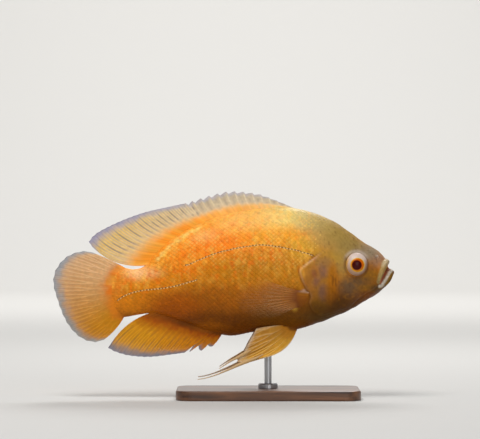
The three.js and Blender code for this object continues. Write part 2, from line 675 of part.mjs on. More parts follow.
function place(group, name, geometry, material) {
  const mesh = new THREE.Mesh(geometry, material);
  mesh.name = name;
  group.add(mesh);
}

// The same piece on the left and, mirrored, on the right.
function placePair(name, geometry, material) {
  place(fish, `${name}_left`, geometry, material);
  place(fish, `${name}_right`, mirrored(geometry), material);
}

const head = headBlock();
place(fish, "head", geometryOf(head.subtract(belowMouth(GAP / 2))), HEAD_OLIVE);
place(fish, "lower_jaw", geometryOf(head.intersect(belowMouth(-GAP / 2))), HEAD_OLIVE);
place(fish, "torso", geometryOf(torso()), FLESH_ORANGE);
place(fish, "tail_peduncle", geometryOf(peduncle()), TAIL_ORANGE);
place(fish, "caudal_fin", geometryOf(caudalFin()), FIN_YELLOW);
place(fish, "dorsal_fin", geometryOf(dorsalFin()), FIN_PALE);
place(fish, "anal_fin", geometryOf(analFin()), FIN_YELLOW);
placePair("gill_cover", geometryOf(gillCover()), GILL_GOLD);
placePair("pectoral_fin", geometryOf(pectoralFin()), FIN_YELLOW);
placePair("pelvic_fin", geometryOf(pelvicFin()), FIN_PALE);
placePair("eye", geometryOf(solid(eyeBall(0))), EYE_RED);
place(stand, "stand_base", geometryOf(standBase()), WALNUT);
place(stand, "stand_rod", geometryOf(standRod()), STEEL);

const oscar = new THREE.Group();
oscar.add(fish, stand);
export default oscar;
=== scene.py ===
"""A life-size oscar, a golden aquarium cichlid, swimming on a plain display stand.

The skin, scales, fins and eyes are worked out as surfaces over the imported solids, whose sizes they share. All
sizes are millimetres in the fish's own frame: x runs from tail to snout, y to the fish's left, z up from the
belly, where the stand's rod meets it. The mesh maker turns them into metres above the floor.
"""

from __future__ import annotations

import itertools
import logging
import math
from dataclasses import dataclass, replace
from enum import Enum
from typing import Callable

import bpy
import numpy as np
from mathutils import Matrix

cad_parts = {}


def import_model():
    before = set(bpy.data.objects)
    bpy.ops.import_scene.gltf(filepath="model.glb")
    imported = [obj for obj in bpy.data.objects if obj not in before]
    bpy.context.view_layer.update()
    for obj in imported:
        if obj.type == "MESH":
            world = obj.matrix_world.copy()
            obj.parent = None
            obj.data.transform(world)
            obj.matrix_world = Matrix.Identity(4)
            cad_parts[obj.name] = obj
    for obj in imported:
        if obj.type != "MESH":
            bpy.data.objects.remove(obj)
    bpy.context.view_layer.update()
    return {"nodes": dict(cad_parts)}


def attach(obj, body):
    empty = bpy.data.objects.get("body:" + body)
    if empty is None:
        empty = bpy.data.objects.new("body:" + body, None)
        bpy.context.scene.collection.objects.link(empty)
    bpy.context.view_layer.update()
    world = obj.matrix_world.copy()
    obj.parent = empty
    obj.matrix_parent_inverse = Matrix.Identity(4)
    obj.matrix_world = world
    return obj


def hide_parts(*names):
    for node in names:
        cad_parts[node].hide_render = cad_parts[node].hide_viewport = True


Array = np.ndarray
Values = dict[str, float | tuple]

LOG = logging.getLogger("oscar")
MM = 0.001
# How high the fish's own frame is held over the floor
BELLY_HEIGHT = 56.7
# The middle of the tail fin's round root in the side view, and the root's radius
TAIL_MIDDLE = (-93, 30.5)
TAIL_ROOT = 31.5

# The body's ribs: top x, z; bottom x, z; half width; widest height as a share; fullness above and below it
RIBS = np.array([
    [-137, 50.0, -136, 10.0, 0.8, 0.52, 2.0, 2.0],
    [-120, 50.3, -119, 9.6, 3.3, 0.52, 2.0, 2.0],
    [-109, 49.0, -106.5, 11.6, 6.8, 0.52, 2.0, 2.0],
    [-100, 52.6, -95, 13.0, 9.6, 0.52, 1.9, 2.0],
    [-88.6, 65.6, -84.5, 10.6, 13.2, 0.52, 1.8, 1.9],
    [-72.2, 78.4, -68, 5.0, 17.6, 0.52, 1.75, 1.9],
    [-51.7, 88.6, -49.2, -1.4, 21.4, 0.52, 1.75, 2.0],
    [-31.2, 95.2, -31.2, -5.5, 23.8, 0.5, 1.8, 2.0],
    [-10.7, 98.6, -13.1, -2.6, 24.8, 0.5, 1.8, 2.1],
    [9.8, 99.7, 4.9, -0.1, 25.0, 0.5, 1.85, 2.1],
    [26.2, 98.2, 23, -0.4, 24.6, 0.49, 1.9, 2.1],
    [41, 93.9, 39.4, 4.4, 23.6, 0.49, 1.95, 2.0],
    [54.9, 87.6, 54.1, 9.7, 22.2, 0.5, 2.0, 1.95],
    [67.2, 79.4, 67.2, 15.7, 20.2, 0.5, 2.05, 1.9],
    [77.1, 71.8, 78.7, 22.6, 18.2, 0.49, 2.1, 1.9],
    [85.3, 67.2, 87.7, 28.8, 16.0, 0.46, 2.1, 1.95],
    [91.8, 62.6, 94.8, 35.1, 13.2, 0.45, 2.1, 2.0],
    [95.4, 58.4, 98.2, 39.4, 10.4, 0.46, 2.1, 2.0],
    [97.4, 54.8, 99.4, 43.4, 7.0, 0.48, 2.0, 2.0],
    [98.2, 51.4, 99.2, 47.6, 2.6, 0.5, 2.0, 2.0],
])


def colour(code: str) -> Array:
    """Linear red, green and blue of a six-digit web colour."""
    value = np.array([int(code[i:i + 2], 16) / 255 for i in (0, 2, 4)])
    return np.where(value <= 0.04045, value / 12.92, ((value + 0.055) / 1.055) ** 2.4)


def smooth(value: Array, low: float, high: float) -> Array:
    """An S-shaped step from 0 at low to 1 at high: 3t squared minus 2t cubed."""
    t = np.clip((value - low) / (high - low), 0, 1)
    return t * t * (3 - 2 * t)


def bell(value: Array, middle: float, width: Array | float) -> Array:
    """A bell of height 1 about the middle: e to the minus square of the distance counted in widths."""
    return np.exp(-(((value - middle) / width) ** 2))


def blend(first: Array, second: Array, share: Array) -> Array:
    """Colours part of the way from first to second.

    Args:
        first: colours, or one colour.
        second: colours, or one colour.
        share: how far, one value for each colour.

    Returns:
        The blended colours.
    """
    return first + (second - first) * np.clip(share, 0, 1)[..., None]


def curve(knots: Array, share: Array) -> Array:
    """Points on a smooth curve through knots, the cubic whose slope at a knot joins its two neighbours.

    Args:
        knots: one row for each knot.
        share: places along the curve, 0 at the first knot and 1 at the last, knots evenly spread.

    Returns:
        One row for each share.
    """
    knots = np.asarray(knots, float)
    last = len(knots) - 1
    at = np.clip(share, 0, 1) * last
    i = np.minimum(at.astype(int), last - 1)
    t = (at - i)[..., None]
    padded = np.vstack([2 * knots[0] - knots[1], knots, 2 * knots[-1] - knots[-2]])
    a, b, c, d = (padded[i + k] for k in range(4))
    return 0.5 * (2 * b + (c - a) * t + (2 * a - 5 * b + 4 * c - d) * t**2 + (3 * b - a - 3 * c + d) * t**3)


def evenly(knots: Array, share: Array) -> Array:
    """Points at shares of a smooth curve's length, found by adding up short chords."""
    fine = curve(knots, np.linspace(0, 1, 800))
    run = np.r_[0, np.cumsum(np.linalg.norm(np.diff(fine, axis=0), axis=1))]
    at = np.asarray(share) * run[-1]
    return np.stack([np.interp(at, run, fine[:, k]) for k in range(fine.shape[1])], -1)


def between(table: Array, at: Array) -> Array:
    """Rows of a table at places between its rows, mixed from the two nearest."""
    return np.stack([np.interp(at, np.arange(len(table)), column) for column in table.T], -1)


def flat(points: list[tuple[float, float]]) -> Array:
    """Points of the side view as points in the fish's middle plane."""
    x, z = np.array(points, float).T
    return np.stack([x, 0 * x, z], -1)


def noise(points: Array, size: Array | float, seed: int = 0) -> Array:
    """Smooth random values from 0 to 1.

    Each corner of a cell has a hashed value, and an S curve blends them along each axis.

    Args:
        points: places, in mm.
        size: a cell's size, one number or one for each axis.
        seed: which pattern.

    Returns:
        One value for each point.
    """
    at = points / size
    cell = np.floor(at).astype(np.int64)
    part = at - cell
    part = part * part * (3 - 2 * part)
    total = np.zeros(points.shape[:-1])
    for corner in itertools.product((0, 1), repeat=3):
        c = cell + np.array(corner)
        key = (c[..., 0] * 73856093) ^ (c[..., 1] * 19349663) ^ (c[..., 2] * 83492791) ^ (seed * 961748927)
        key = ((key ^ (key >> 13)) * 1274126177) & 0xFFFFFFFF
        key = (key ^ (key >> 15)) & 0xFFFF
        total += np.prod(np.where(corner, part, 1 - part), axis=-1) * key / 65535
    return total


def nearest(points: Array, path: Array) -> tuple[Array, Array, Array]:
    """Drops each point onto every piece of a broken line and keeps the closest foot.

    Args:
        points: places, one row each.
        path: the line's corners, one row each.

    Returns:
        The feet, the distances to them, and how far along the line they are, from 0 to 1.
    """
    step = np.diff(path, axis=0)
    rel = points[:, None] - path[:-1]
    t = np.clip((rel * step).sum(-1) / (step * step).sum(-1), 0, 1)
    foot = path[:-1] + t[..., None] * step
    gap = np.linalg.norm(points[:, None] - foot, axis=-1)
    best = gap.argmin(1)
    rows = np.arange(len(points))
    return foot[rows, best], gap[rows, best], (best + t[rows, best]) / len(step)


def within(points: Array, loop: Array) -> Array:
    """True for side-view points inside a closed outline: a ray along x crosses it an odd number of times."""
    x, z = points[:, :1], points[:, 1:]
    a, b = loop, np.roll(loop, -1, axis=0)
    spans = (a[:, 1] > z) != (b[:, 1] > z)
    cross = a[:, 0] + (z - a[:, 1]) * (b[:, 0] - a[:, 0]) / (b[:, 1] - a[:, 1] + 1e-12)
    return (spans & (x < cross)).sum(1) % 2 == 1


def grid_normals(grid: Array, ring: bool) -> Array:
    """Unit normals of a grid of points, the cross product of its two directions' differences.

    Args:
        grid: points by row and column.
        ring: whether the columns close on themselves.

    Returns:
        A unit vector for each point.
    """
    along = np.gradient(grid, axis=0)
    if ring:
        across = np.roll(grid, -1, axis=1) - np.roll(grid, 1, axis=1)
    else:
        across = np.gradient(grid, axis=1)
    normal = np.cross(along, across)
    return normal / np.maximum(np.linalg.norm(normal, axis=-1, keepdims=True), 1e-12)


def lattice(rows: int, columns: int, ring: bool = False) -> Array:
    """The four-cornered faces of a grid of points.

    Args:
        rows: how many rows of points.
        columns: how many points in a row.
        ring: whether each row closes on itself.

    Returns:
        Four point numbers for each face.
    """
    i, j = np.meshgrid(np.arange(rows - 1), np.arange(columns if ring else columns - 1), indexing="ij")
    k = (j + 1) % columns
    faces = np.stack([i * columns + j, i * columns + k, (i + 1) * columns + k, (i + 1) * columns + j], -1)
    return faces.reshape(-1, 4)


def many_lattices(rows: int, columns: int, count: int, turned: bool) -> list[list[int]]:
    """The faces of many like grids whose points follow one another, turned over or not."""
    starts = np.arange(count) * rows * columns
    faces = (lattice(rows, columns)[None] + starts[:, None, None]).reshape(-1, 4)
    return (faces[:, ::-1] if turned else faces).tolist()


def capped(rows: int, columns: int) -> list[list[int]]:
    """The faces of a closed form of rings, with a cap point for the first ring and one for the last."""
    first_cap, last_cap, last_ring = rows * columns, rows * columns + 1, (rows - 1) * columns
    faces = lattice(rows, columns, ring=True).tolist()
    faces += [[first_cap, (j + 1) % columns, j] for j in range(columns)]
    return faces + [[last_cap, last_ring + j, last_ring + (j + 1) % columns] for j in range(columns)]


def faces_out(points: Array, faces: list[list[int]]) -> list[list[int]]:
    """Faces turned to point outwards, told by the sign of the volume that they shut in."""
    volume = 0.0
    for size in {len(face) for face in faces}:
        corners = points[np.array([face for face in faces if len(face) == size])]
        for k in range(1, size - 1):
            volume += np.einsum("ij,ij->", corners[:, 0], np.cross(corners[:, k], corners[:, k + 1]))
    return faces if volume > 0 else [face[::-1] for face in faces]


class Side(Enum):
    """A side of the fish, as the sign of its y."""

    LEFT = 1
    RIGHT = -1

    @property
    def word(self) -> str:
        """The side's name as the pieces bear it."""
        return self.name.lower()


class Slot(Enum):
    """The record's material slots; each fin carries one, though nothing here reads it."""

    FLANK = "flank_skin"
    YELLOW_FIN = "yellow_fin"
    PALE_FIN = "pale_fin"
    EYE = "eye"


class Recipe:
    """A Blender material in the making: its shader, and the nodes that feed it."""

    def __init__(self, name: str, values: Values) -> None:
        """Starts a material, with its uniform values set on the shader's own sockets."""
        self.material = bpy.data.materials.new(name)
        self.material.use_nodes = True
        self.tree = self.material.node_tree
        self.shader = self.tree.nodes["Principled BSDF"]
        self.set(self.shader, values)

    @staticmethod
    def set(node: bpy.types.Node, values: Values) -> None:
        """Sets a node's sockets by their names."""
        for socket, value in values.items():
            node.inputs[socket].default_value = value

    def add(self, kind: str, values: Values) -> bpy.types.Node:
        """A new node of a kind, with its values set."""
        node = self.tree.nodes.new(f"ShaderNode{kind}")
        self.set(node, values)
        return node

    def join(self, source: bpy.types.Node, output: str, target: bpy.types.Node, socket: str) -> None:
        """Leads one node's output into another node's socket."""
        self.tree.links.new(source.outputs[output], target.inputs[socket])

    def pattern(self, values: Values, stretch: tuple[float, float, float]) -> bpy.types.Node:
        """A noise over the object's own coordinates, scaled along each axis."""
        place = self.add("TexCoord", {})
        scaled = self.add("Mapping", {"Scale": stretch})
        pattern = self.add("TexNoise", values)
        self.join(place, "Object", scaled, "Vector")
        self.join(scaled, "Vector", pattern, "Vector")
        return pattern

    def emboss(self, pattern: bpy.types.Node, depth: float, strength: float) -> None:
        """Lets a pattern raise the surface by up to a depth in metres."""
        bump = self.add("Bump", {"Distance": depth, "Strength": strength})
        self.join(pattern, "Fac", bump, "Height")
        self.join(bump, "Normal", self.shader, "Normal")


@dataclass(frozen=True)
class WetSkin:
    """A finish that reads the piece's own painted colours, with fine pores and a wet gloss."""

    name: str
    roughness: float = 0.46
    coat: float = 0.05
    coat_roughness: float = 0.14
    scatter: float = 0.04
    grain: float = 900.0
    grain_depth: float = 0.00006
    see_through: bool = False
    shine: float = 0.08
    scatter_reach: tuple[float, float, float] = (1.0, 0.45, 0.2)
    scatter_depth: float = 0.0015

    def make(self) -> bpy.types.Material:
        """The finish as a Blender material."""
        recipe = Recipe(self.name, {
            "Roughness": self.roughness, "Specular IOR Level": self.shine, "Coat Weight": self.coat,
            "Coat Roughness": self.coat_roughness, "Subsurface Weight": self.scatter,
            "Subsurface Radius": self.scatter_reach, "Subsurface Scale": self.scatter_depth})
        paint = recipe.add("VertexColor", {})
        paint.layer_name = "paint"
        recipe.join(paint, "Color", recipe.shader, "Base Color")
        if self.see_through:
            recipe.join(paint, "Alpha", recipe.shader, "Alpha")
        if self.grain_depth > 0:
            pores = recipe.pattern({"Scale": self.grain, "Detail": 3}, (1, 1, 1))
            recipe.emboss(pores, self.grain_depth, 0.6)
        return recipe.material


def put(name: str, data: bpy.types.ID) -> bpy.types.Object:
    """A new object at the scene's origin."""
    thing = bpy.data.objects.new(name, data)
    bpy.context.scene.collection.objects.link(thing)
    return thing


def make_piece(name: str, points: Array, faces: list[list[int]], paint: Array, finish: bpy.types.Material,
               replaces: tuple[str, ...], bake: Array | None = None) -> bpy.types.Object:
    """Puts a surface into the scene as one piece of the fish.

    Args:
        name: the piece's name.
        points: its vertices in mm, in the fish's frame.
        faces: vertex numbers of each face.
        paint: red, green, blue and opacity of each vertex.
        finish: its material.
        replaces: the CAD nodes that it stands for.
        bake: a UV place for each vertex, for a coat.

    Returns:
        The new object.
    """
    mesh = bpy.data.meshes.new(name)
    mesh.from_pydata(((points + [0, 0, BELLY_HEIGHT]) * MM).tolist(), [], faces)
    mesh.shade_smooth()
    layer = mesh.color_attributes.new("paint", "FLOAT_COLOR", "POINT")
    layer.data.foreach_set("color", np.clip(paint, 0, 1).astype(np.float32).ravel())
    if bake is not None:
        loops = np.zeros(len(mesh.loops), np.int32)
        mesh.loops.foreach_get("vertex_index", loops)
        mesh.uv_layers.new(name="OFBake").data.foreach_set("uv", bake[loops].astype(np.float32).ravel())
    mesh.materials.append(finish)
    piece = put(name, mesh)
    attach(piece, "root")
    if replaces:
        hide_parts(*replaces)
    LOG.info("%s: %d faces", name, len(faces))
    return piece


def opaque(colours: Array) -> Array:
    """Colours with full opacity added."""
    return np.concatenate([colours, np.ones((*colours.shape[:-1], 1))], -1)


@dataclass(frozen=True)
class BodyForm:
    """The bare form of head, trunk and tail stalk, lofted over the ribs."""

    ribs: Array

    def section(self, share: Array) -> tuple[Array, Array, Array]:
        """Top points, bottom points and the four width and fullness values at shares of the body's length."""
        values = curve(self.ribs, share)
        return values[..., 0:2], values[..., 2:4], values[..., 4:]

    def loft(self, share: Array, turn: Array) -> Array:
        """The surface: on each slanted section, a superellipse above the widest height and another below it.

        Args:
            share: places along the body, tail first.
            turn: places round it as parts of a turn, from the back over the left side.

        Returns:
            Points by share and turn.
        """
        top, bottom, rest = self.section(share)
        half, widest, top_power, bottom_power = (rest[:, k, None] for k in range(4))
        height = np.linalg.norm(top - bottom, axis=-1)[:, None]
        up = (top - bottom) / height
        rise, side = np.cos(2 * np.pi * turn)[None], np.sin(2 * np.pi * turn)[None]
        power = 2 / np.where(rise > 0, top_power, bottom_power)
        reach = height * np.where(rise > 0, 1 - widest, widest) * np.sign(rise) * np.abs(rise) ** power
        lift = height * widest + reach
        y = half * np.sign(side) * np.abs(side) ** power
        return np.stack([bottom[:, :1] + lift * up[:, :1], y, bottom[:, 1:] + lift * up[:, 1:]], -1)

    def side(self, x: float, z: float) -> float:
        """Half the body's width at a point of the side view, on the rib found by halving."""
        low, high = 0.0, 1.0
        for _ in range(40):
            share = (low + high) / 2
            top, bottom, _ = self.section(np.array([share]))
            (tx, tz), (bx, bz) = top[0], bottom[0]
            if (tx - bx) * (z - bz) - (tz - bz) * (x - bx) > 0:
                high = share
            else:
                low = share
        top, bottom, rest = self.section(np.array([low]))
        half, widest, top_power, bottom_power = rest[0]
        up = math.hypot(x - bottom[0, 0], z - bottom[0, 1]) / np.linalg.norm(top - bottom)
        above = up > widest
        reach = abs(up - widest) / (1 - widest if above else widest)
        power = top_power if above else bottom_power
        return 0.0 if reach >= 1 else half * (1 - reach**power) ** (1 / power)

    def on_side(self, points: list[tuple[float, float]], out: float = 0.0) -> Array:
        """Side-view points set on the left flank, moved out by a distance."""
        return np.array([[x, self.side(x, z) + out, z] for x, z in points])


@dataclass(frozen=True)
class HeadPlan:
    """Where the features of the head are, as x, z points of the side view."""

    eye: tuple[float, float] = (71.6, 53.0)
    eye_half: tuple[float, float, float] = (9.3, 5.8, 9.8)
    eye_sunk: float = 1.9
    eye_tilt: float = 0.1
    nostril: tuple[float, float] = (88.6, 58.6)
    mouth: tuple = ((101.5, 51.2), (98.6, 49.2), (96.2, 46.4), (93.6, 42), (91.2, 37.6))
    jaw_edge: tuple = ((91.2, 37.6), (86, 33), (80.4, 29.4), (73, 23.5), (66, 15.5))
    upper_lip: tuple = ((90.6, 39.6), (92.4, 45.6), (94.3, 50.8), (96.0, 54.2))
    upper_front: tuple[float, float] = (97.1, 54.8)
    lower_lip: tuple = ((92.3, 35.8), (95.0, 38.6), (97.7, 42.4), (99.0, 44.8))
    lower_front: tuple[float, float] = (99.7, 46.3)
    gill: tuple = ((57, 60), (50, 67), (44, 64), (36.5, 58.2), (29.5, 53), (25.2, 48.6), (26.6, 42),
                   (30.2, 34.4), (34.4, 27.8), (33.4, 21.5), (37, 14.8), (44.5, 11), (52, 15.5),
                   (57.6, 24.5), (60, 36), (59.4, 48))
    cheek_edge: tuple = ((53, 50), (50.6, 43), (51, 34), (54.5, 26), (60, 21))


PLAN = HeadPlan()
# The lips' radii at even steps from one mouth corner round to the other
UPPER_LIP_RADII = np.array([1.3, 2.0, 2.4, 2.7, 3.1, 2.7, 2.4, 2.0, 1.3])
LOWER_LIP_RADII = np.array([1.2, 2.6, 3.4, 3.8, 4.0, 3.8, 3.4, 2.6, 1.2])
# The cells of the noise that makes the upright wrinkles behind the cheek
WRINKLE_CELL = np.array([0.9, 9, 7.0])


class Relief:
    """The features that are raised on the bare form or sunk into it."""

    def __init__(self, form: BodyForm, plan: HeadPlan) -> None:
        """Keeps the form and the plan, and lays out the gill cover's edge."""
        self.form, self.plan = form, plan
        self.gill_loop = curve(np.vstack([plan.gill, plan.gill[:1]]), np.linspace(0, 1, 97))[:-1]

    def lip(self, path: tuple, front: tuple[float, float]) -> Array:
        """A lip's line from one mouth corner round the snout to the other."""
        half = self.form.on_side(list(path))
        other = half[::-1] * [1, -1, 1]
        return curve(np.vstack([half, [[front[0], 0, front[1]]], other]), np.linspace(0, 1, 61))

    @staticmethod
    def inflate(points: Array, normals: Array, path: Array, radius: Array) -> Array:
        """How far to move points along their normals towards a rod along a path, softened to a low swelling.

        Args:
            points: places on the surface.
            normals: its unit normals there.
            path: the rod's middle line.
            radius: the rod's radius at even steps along it.

        Returns:
            Distances, 0 where the rod isn't met.
        """
        foot, gap, along = nearest(points, path)
        size = np.interp(along, np.linspace(0, 1, len(radius)), radius)
        into = ((points - foot) * normals).sum(-1)
        inside = into**2 - gap**2 + size**2
        reach = np.where(inside > 0, np.sqrt(np.maximum(inside, 0)) - into, 0)
        return 0.85 * np.clip(reach, 0, 1.3 * size) ** 2 / size

    def gill_depth(self, points: Array) -> Array:
        """Distance of side-view points inside the gill cover's edge, below 0 outside it."""
        loop = np.vstack([self.gill_loop, self.gill_loop[:1]])
        _, gap, _ = nearest(points, loop)
        return np.where(within(points, self.gill_loop), gap, -gap)

    def groove(self, points: Array, path: tuple, width: float, depth: float) -> Array:
        """A soft furrow along a side-view path, deepest on it and fading with the square of the distance."""
        line = curve(np.array(path), np.linspace(0, 1, 40))
        _, gap, along = nearest(points, line)
        fade = np.minimum(1, 6 * np.minimum(along + 0.02, 1.02 - along))
        return -depth * fade * bell(gap, 0, width)

    def gill_cover(self, flank: Array) -> Array:
        """The gill cover stands out behind, with a rolled rim and a furrow outside it."""
        depth = self.gill_depth(flank)
        x, z = flank.T
        step = 1.4 * smooth(-x, -52, -30) * smooth(z, 6, 20) * smooth(depth, -0.5, 1.8)
        rim = 0.35 * bell(depth, 1.6, 1.0) - 0.4 * bell(depth, -0.7, 0.7)
        return step + rim * smooth(-x, -48, -34) * smooth(z, 12, 34)

    def folds(self, points: Array, flank: Array) -> Array:
        """Furrows of cheek, jaw and throat, wrinkles behind the cheek and low waves all over the head."""
        x, z = flank.T
        out = self.groove(flank, self.plan.cheek_edge, 1.3, 0.3)
        out += self.groove(flank, self.plan.jaw_edge, 0.8, 0.5)
        for k in range(4):
            fold = ((66 - 2 * k, 17.5 - 1.6 * k), (54, 13.5 - 1.9 * k), (42, 10.5 - 1.9 * k))
            out += self.groove(flank, fold, 0.45, 0.3)
        wrinkles = bell(x, 53.5, 4) * bell(z, 34, 12) * (noise(points, WRINKLE_CELL, 3) - 0.5)
        return out + 0.5 * wrinkles + 0.5 * (noise(points, 4.5, 14) - 0.5) * smooth(x, 24, 34)

    def eye_socket(self, flank: Array) -> Array:
        """A fold round the eye, highest below and in front, and a hollow that the eye fills."""
        (eye_x, eye_z), (long, _, high) = self.plan.eye, self.plan.eye_half
        ahead, up = flank[:, 0] - eye_x, flank[:, 1] - eye_z
        polar = np.hypot((ahead + 0.4) / (long - 0.3), (up - 0.4) / (high - 0.3))
        lid = 0.25 + smooth(0.6 * ahead - 0.8 * up, 2, 8)
        return lid * bell(polar, 1.04, 0.09) - 6 * smooth(-polar, -0.96, -0.5)

    def chin(self, flank: Array) -> Array:
        """The fullness of the chin: a broad swelling under the jaw and a small one under the lower lip."""
        x, z = flank.T
        return 1.1 * bell(x, 91, 11) * bell(z, 31, 8) + 1.5 * bell(x, 99, 4.5) * bell(z, 38.5, 4.5)

    def nostril(self, flank: Array) -> Array:
        """A small pit with a raised ring."""
        ring = np.hypot(*(flank - self.plan.nostril).T)
        return 0.35 * bell(ring, 1.5, 0.5) - 1.5 * bell(ring, 0, 0.9)

    def height(self, points: Array, normals: Array) -> Array:
        """How far the features move each point along its normal.

        Args:
            points: places on the bare form.
            normals: its unit normals there.

        Returns:
            Distances in mm, outwards positive.
        """
        plan, flank = self.plan, points[:, [0, 2]]
        out = self.gill_cover(flank) + self.folds(points, flank) + self.eye_socket(flank)
        out += self.chin(flank) + self.nostril(flank)
        _, gap, along = nearest(flank, curve(np.array(plan.mouth), np.linspace(0, 1, 40)))
        open_half = 0.35 + 1.0 * smooth(1 - along, 0.25, 1.0)
        cleft = 2.2 * smooth(1 - along, 0.0, 0.3) * (1 - smooth(gap, open_half, open_half + 0.9))
        upper = self.inflate(points, normals, self.lip(plan.upper_lip, plan.upper_front), UPPER_LIP_RADII)
        lower = self.inflate(points, normals, self.lip(plan.lower_lip, plan.lower_front), LOWER_LIP_RADII)
        lips = np.maximum(upper, lower)
        return np.where(lips > 0.05, out + lips, out - cleft)


# Broad patches of colour, each: x, z, half length, half height, web colour, strength. Later ones lie on top.
# Beside the fish's own colours they hold painted shade on the belly, jaw and chin and a few small painted
# highlights.
PATCHES = (
    (20, 96, 30, 12, "ccbe88", 0.9), (6, 90, 22, 9, "f0d070", 0.75), (-22, 92, 26, 9, "fbb65e", 0.8),
    (44, 84, 18, 14, "cdb06c", 0.95), (60, 76, 17, 14, "b09048", 0.95), (70, 66, 12, 9, "a4884a", 0.9),
    (84, 63, 10, 7, "9c8a6e", 0.95), (90, 56, 7, 5, "a4826a", 0.8), (84, 50, 5, 6, "945c28", 0.8),
    # (73, 38): painted shadow under the eye, over the cheek's own brown.
    (82, 43, 8, 5, "a06c1c", 0.85), (73, 38, 10, 5, "785834", 0.9), (66, 34, 9, 8, "7c5e40", 0.9),
    # (91, 33): painted shadow along the jaw's edge; (97, 40): the chin's olive brown, darkened by painted
    # shade.
    (82, 33.5, 8, 2.6, "b07620", 0.85), (91, 33, 8, 3.2, "463420", 0.8), (97, 40, 5, 4, "6e5420", 0.85),
    (60, 54, 7, 10, "b0934c", 0.8), (54, 58, 6, 4, "cc9c34", 0.7), (46, 62, 9, 3.5, "c89c3c", 0.6),
    (-18, 78, 26, 9, "f9a02c", 0.6), (-44, 70, 26, 10, "ff7c14", 0.75), (-66, 60, 18, 14, "ff8a1c", 0.6),
    (10, 76, 26, 6, "f0a024", 0.6), (28, 66, 12, 8, "dca62a", 0.75), (18, 52, 16, 10, "cc8614", 0.5),
    (-16, 48, 28, 11, "b8760c", 0.6), (24, 42, 12, 12, "b87a14", 0.6), (19, 26.5, 6.5, 5.5, "8c4428", 0.7),
    # (-30, 6) and (12, 10): the belly's orange-brown, darkened by painted shade.
    (-44, 26, 40, 10, "9a5208", 0.6), (-30, 6, 50, 9, "703a06", 0.75), (12, 10, 24, 10, "72480c", 0.7),
    # (44, 16), (60, 20) and (50, 10): the jaw and throat, their own brown darkened by painted shade.
    (44, 16, 14, 9, "80520e", 0.75), (60, 20, 12, 7, "6c4410", 0.75), (50, 10, 18, 4, "746038", 0.5),
    # (-104, 46): a painted highlight along the top of the tail stalk.
    (-104, 46, 13, 5, "ffc284", 0.85), (-126, 32, 8, 18, "e08026", 0.8), (-108, 20, 20, 9, "e08414", 0.8),
    # (-52, 76): a soft painted highlight on the upper flank.
    (-76, 19, 20, 10, "bc5c06", 0.7), (-48, 2, 12, 5, "c06c10", 0.5), (-52, 76, 9, 5, "fcb460", 0.6),
    # (29, 32): a small white painted highlight.
    (-88, 37, 18, 7, "ea8614", 0.7), (21, 18, 3, 2.6, "dca83c", 0.8), (29, 32, 1.8, 1.4, "d4bcac", 0.6),
    # (88.8, 59.2): a painted highlight on the nostril.
    (88.8, 59.2, 1.2, 1.0, "d0beac", 0.8),
)
# The same for the gill cover alone
GILL_PATCHES = (
    (40, 42, 15, 22, "c48628", 0.8), (33, 36, 6, 12, "a8682c", 0.7), (44, 55, 8, 5, "a57c48", 0.7),
    (43.5, 47, 4, 5, "8a6256", 0.75), (39, 39.5, 3.4, 4, "8c5f50", 0.7), (45, 30.5, 4, 6, "8a6254", 0.75),
    (36.5, 46, 2.4, 3, "8a4e3c", 0.6), (53, 40, 4.5, 12, "c4740c", 0.9), (53, 26, 5, 8, "ac6408", 0.85),
    (42, 18, 9, 6, "865610", 0.8),
)
# Side-view paths: the pale crease under the back fin, whose streak is partly a painted highlight, and the two
# parts of the side line
CREASE = ((-90, 57.5), (-86, 62.4), (-75, 71.8), (-64, 78.5), (-56, 83.5))
LATERAL_UPPER = ((36.9, 60.5), (26.2, 63.8), (18, 65.8), (9.8, 67.5), (1.6, 68.7), (-4.9, 69.1),
                 (-14.8, 68.3), (-23, 67.1), (-31.2, 65.4), (-39.4, 63.4), (-47.6, 60.5), (-55.8, 57.2),
                 (-64, 53.5), (-68.1, 52.3))
LATERAL_LOWER = ((-57.4, 40.8), (-64, 39.2), (-72.2, 36.7), (-80.4, 34.7), (-88.6, 33.5), (-96.8, 32.6),
                 (-105, 31.8), (-117.3, 27.7), (-123.8, 23.6))


